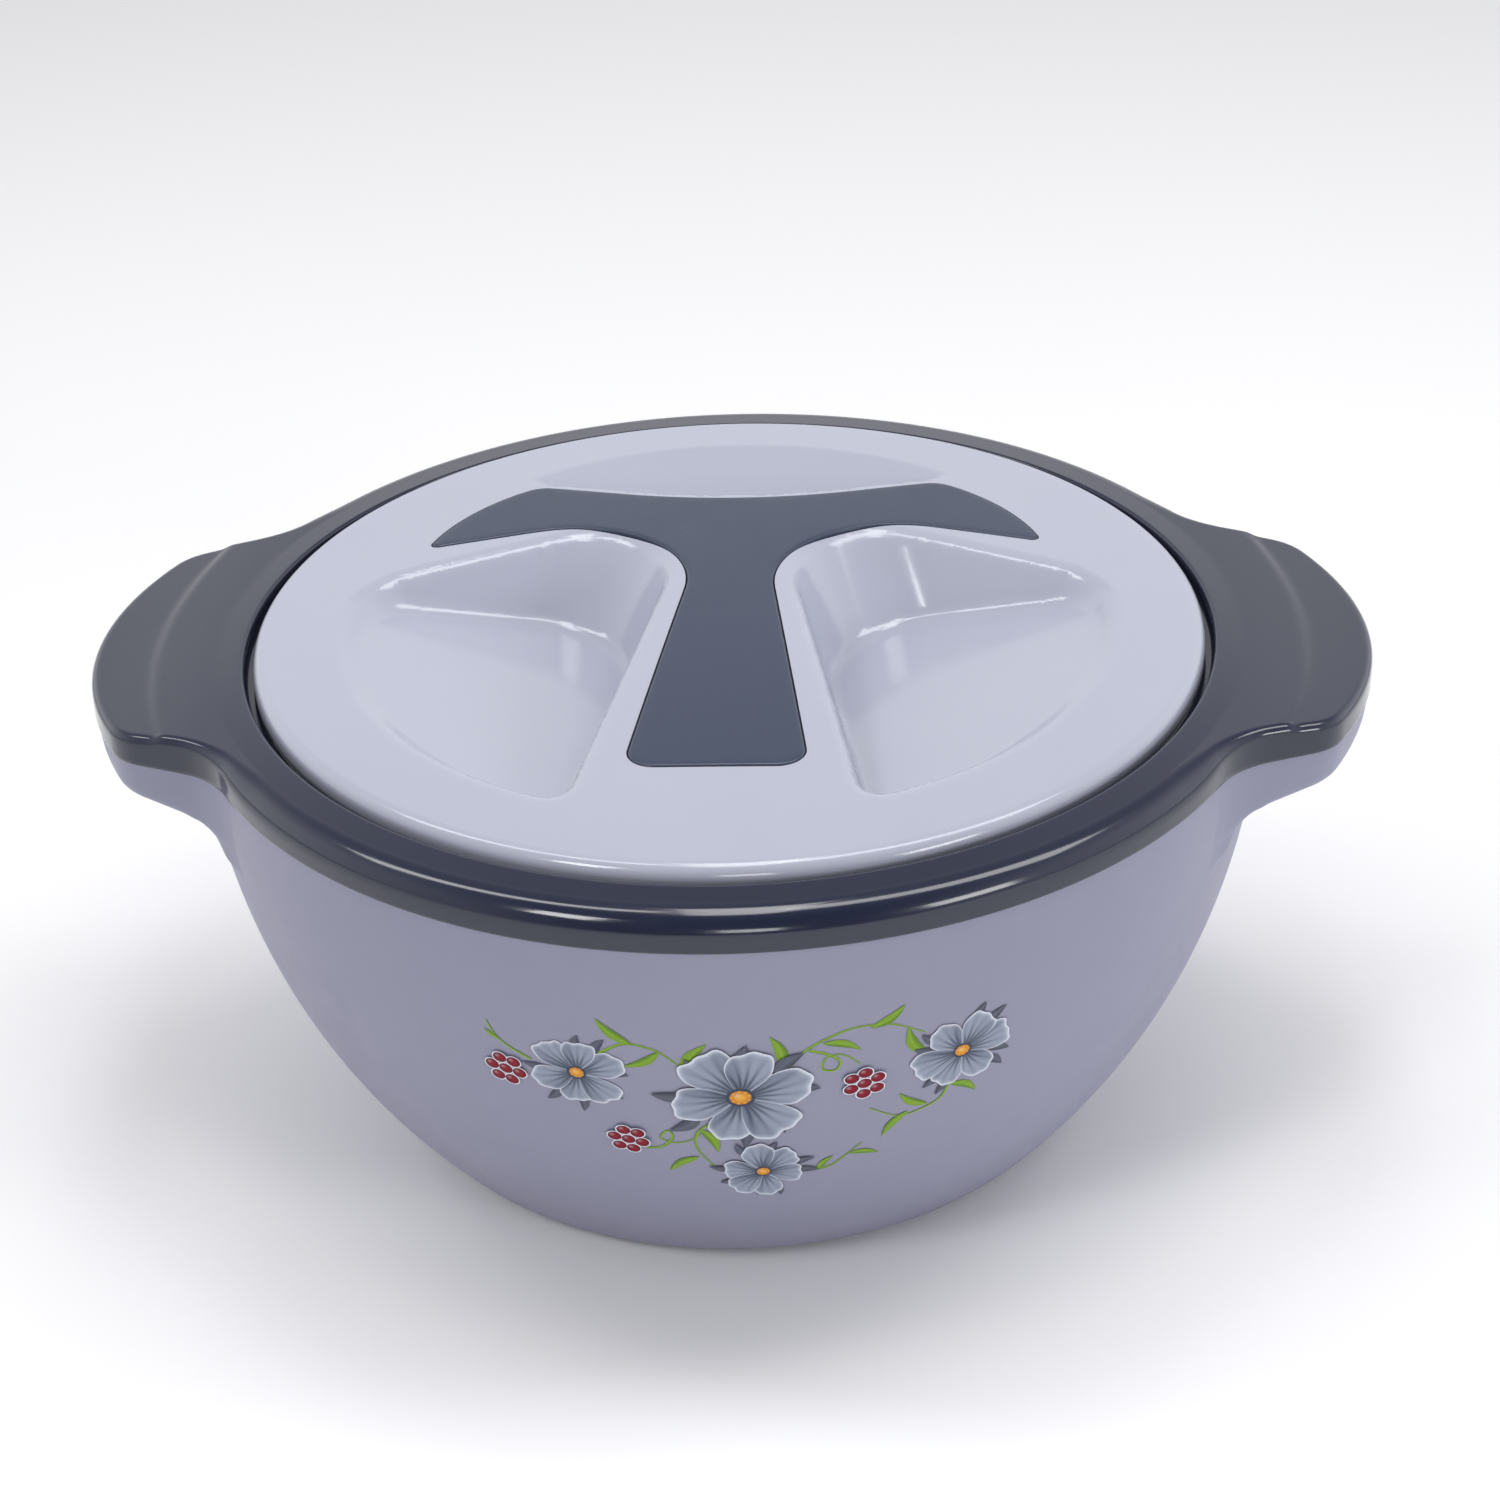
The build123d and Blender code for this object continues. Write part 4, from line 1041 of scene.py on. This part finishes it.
def place_camera():
    """The camera stands in front, about 28 degrees up, with an 80 mm lens."""
    camera_data = bpy.data.cameras.new("camera")
    camera_data.lens = 80.0
    camera_data.sensor_width = 36.0
    camera_data.clip_end = 20.0
    camera = bpy.data.objects.new("camera", camera_data)
    bpy.context.scene.collection.objects.link(camera)
    eye = VIEW_DISTANCE * np.array([0, -math.cos(VIEW_RISE), math.sin(VIEW_RISE)])
    forward = VIEW_AIM - eye
    forward /= np.linalg.norm(forward)
    right = np.cross(forward, [0, 0, 1])
    right /= np.linalg.norm(right)
    up = np.cross(right, forward)
    rolled_right = math.cos(VIEW_ROLL) * right + math.sin(VIEW_ROLL) * up
    rolled_up = -math.sin(VIEW_ROLL) * right + math.cos(VIEW_ROLL) * up
    eye = (eye + (0, 0, LID_EDGE_Z)) * MM
    pose = Matrix((
        (rolled_right[0], rolled_up[0], -forward[0], eye[0]),
        (rolled_right[1], rolled_up[1], -forward[1], eye[1]),
        (rolled_right[2], rolled_up[2], -forward[2], eye[2]),
        (0, 0, 0, 1),
    ))
    camera.matrix_world = Matrix.Rotation(VIEW_TURN, 4, "Z") @ pose
    bpy.context.scene.camera = camera


def area_light(name, place, aim, size, power):
    data = bpy.data.lights.new(name, "AREA")
    data.shape = "RECTANGLE"
    data.size, data.size_y = size
    data.energy = power
    light = bpy.data.objects.new(name, data)
    light.location = place
    light.rotation_euler = (Vector(aim) - Vector(place)).to_track_quat("-Z", "Y").to_euler()
    bpy.context.scene.collection.objects.link(light)


def build_stage():
    """White floor, a world that is bright behind and dark in front, and six softboxes, all in metres."""
    size = 6.0
    points = np.array([(-size, -size, 0), (size, -size, 0), (size, size, 0), (-size, size, 0)]) / MM
    material, _, shader = new_material("pale_floor")
    shader.inputs["Base Color"].default_value = (0.93, 0.93, 0.93, 1)
    shader.inputs["Roughness"].default_value = 0.8
    floor = make_object("floor", points, [[0, 1, 2, 3]], material, smooth=False)
    world = bpy.data.worlds.new("studio")
    world.use_nodes = True
    tree = world.node_tree
    link = tree.links.new
    sky = tree.nodes["Background"]
    place = add_node(tree, "ShaderNodeTexCoord")
    split = add_node(tree, "ShaderNodeSeparateXYZ")
    link(place.outputs["Generated"], split.inputs[0])
    depth = map_range(tree, split.outputs["Y"], (-0.75, 0.65), (0.07, 0.88), "SMOOTHSTEP")
    overhead = map_range(tree, split.outputs["Z"], (0.40, 0.74), (1.0, 0.38), "SMOOTHSTEP")
    aside = add_node(tree, "ShaderNodeMath", operation="ABSOLUTE")
    link(split.outputs["X"], aside.inputs[0])
    wings = map_range(tree, aside.outputs[0], (0.35, 0.95), (0.0, 0.62), "SMOOTHSTEP")
    backdrop = add_node(tree, "ShaderNodeMath", operation="MULTIPLY")
    link(depth, backdrop.inputs[0])
    link(overhead, backdrop.inputs[1])
    total = add_node(tree, "ShaderNodeMath", operation="ADD")
    link(backdrop.outputs[0], total.inputs[0])
    link(wings, total.inputs[1])
    link(total.outputs[0], sky.inputs["Strength"])
    sky.inputs["Color"].default_value = (0.96, 0.96, 1.0, 1)
    bpy.context.scene.world = world
    bpy.context.scene.view_settings.view_transform = "Standard"
    middle = (0, 0, 0.12)
    area_light("left_top_softbox", (-0.66, 0.1, 1.5), middle, (0.26, 1.0), 5.2)
    area_light("top_softbox", (0.0, 0.1, 1.65), middle, (0.30, 0.9), 5.4)
    area_light("right_top_softbox", (0.58, 0.06, 1.5), middle, (0.42, 1.0), 7.2)
    area_light("left_front_softbox", (-0.66, -0.96, 1.12), middle, (0.30, 0.36), 4.0)
    area_light("front_softbox", (0.16, -1.83, 0.52), middle, (0.36, 0.36), 2.8)
    area_light("right_front_softbox", (1.20, -1.10, 0.56), middle, (0.50, 0.40), 5.4)


place_camera()
build_stage()

collar = build_collar()
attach(collar, "base")
tabs = build_tabs()
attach(tabs, "base")
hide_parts("rim_collar")

shell = build_shell()
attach(shell, "base")
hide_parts("outer_shell")

lid = build_lid()
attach(lid, "lid")
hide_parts("lid_cover")

inlay = build_inlay()
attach(inlay, "lid")
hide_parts("lid_inlay")

flowers = build_print()
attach(flowers, "base")

for node, material in (
    ("inner_bowl", STEEL), ("bowl_rim_seal", SILICONE), ("body_foam", FOAM), ("foam_fill_plug", PLUG),
    ("lid_liner", LINING), ("lid_foam", FOAM), ("lid_gasket", SILICONE),
):
    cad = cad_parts[node]
    cad.data.materials.clear()
    cad.data.materials.append(material)
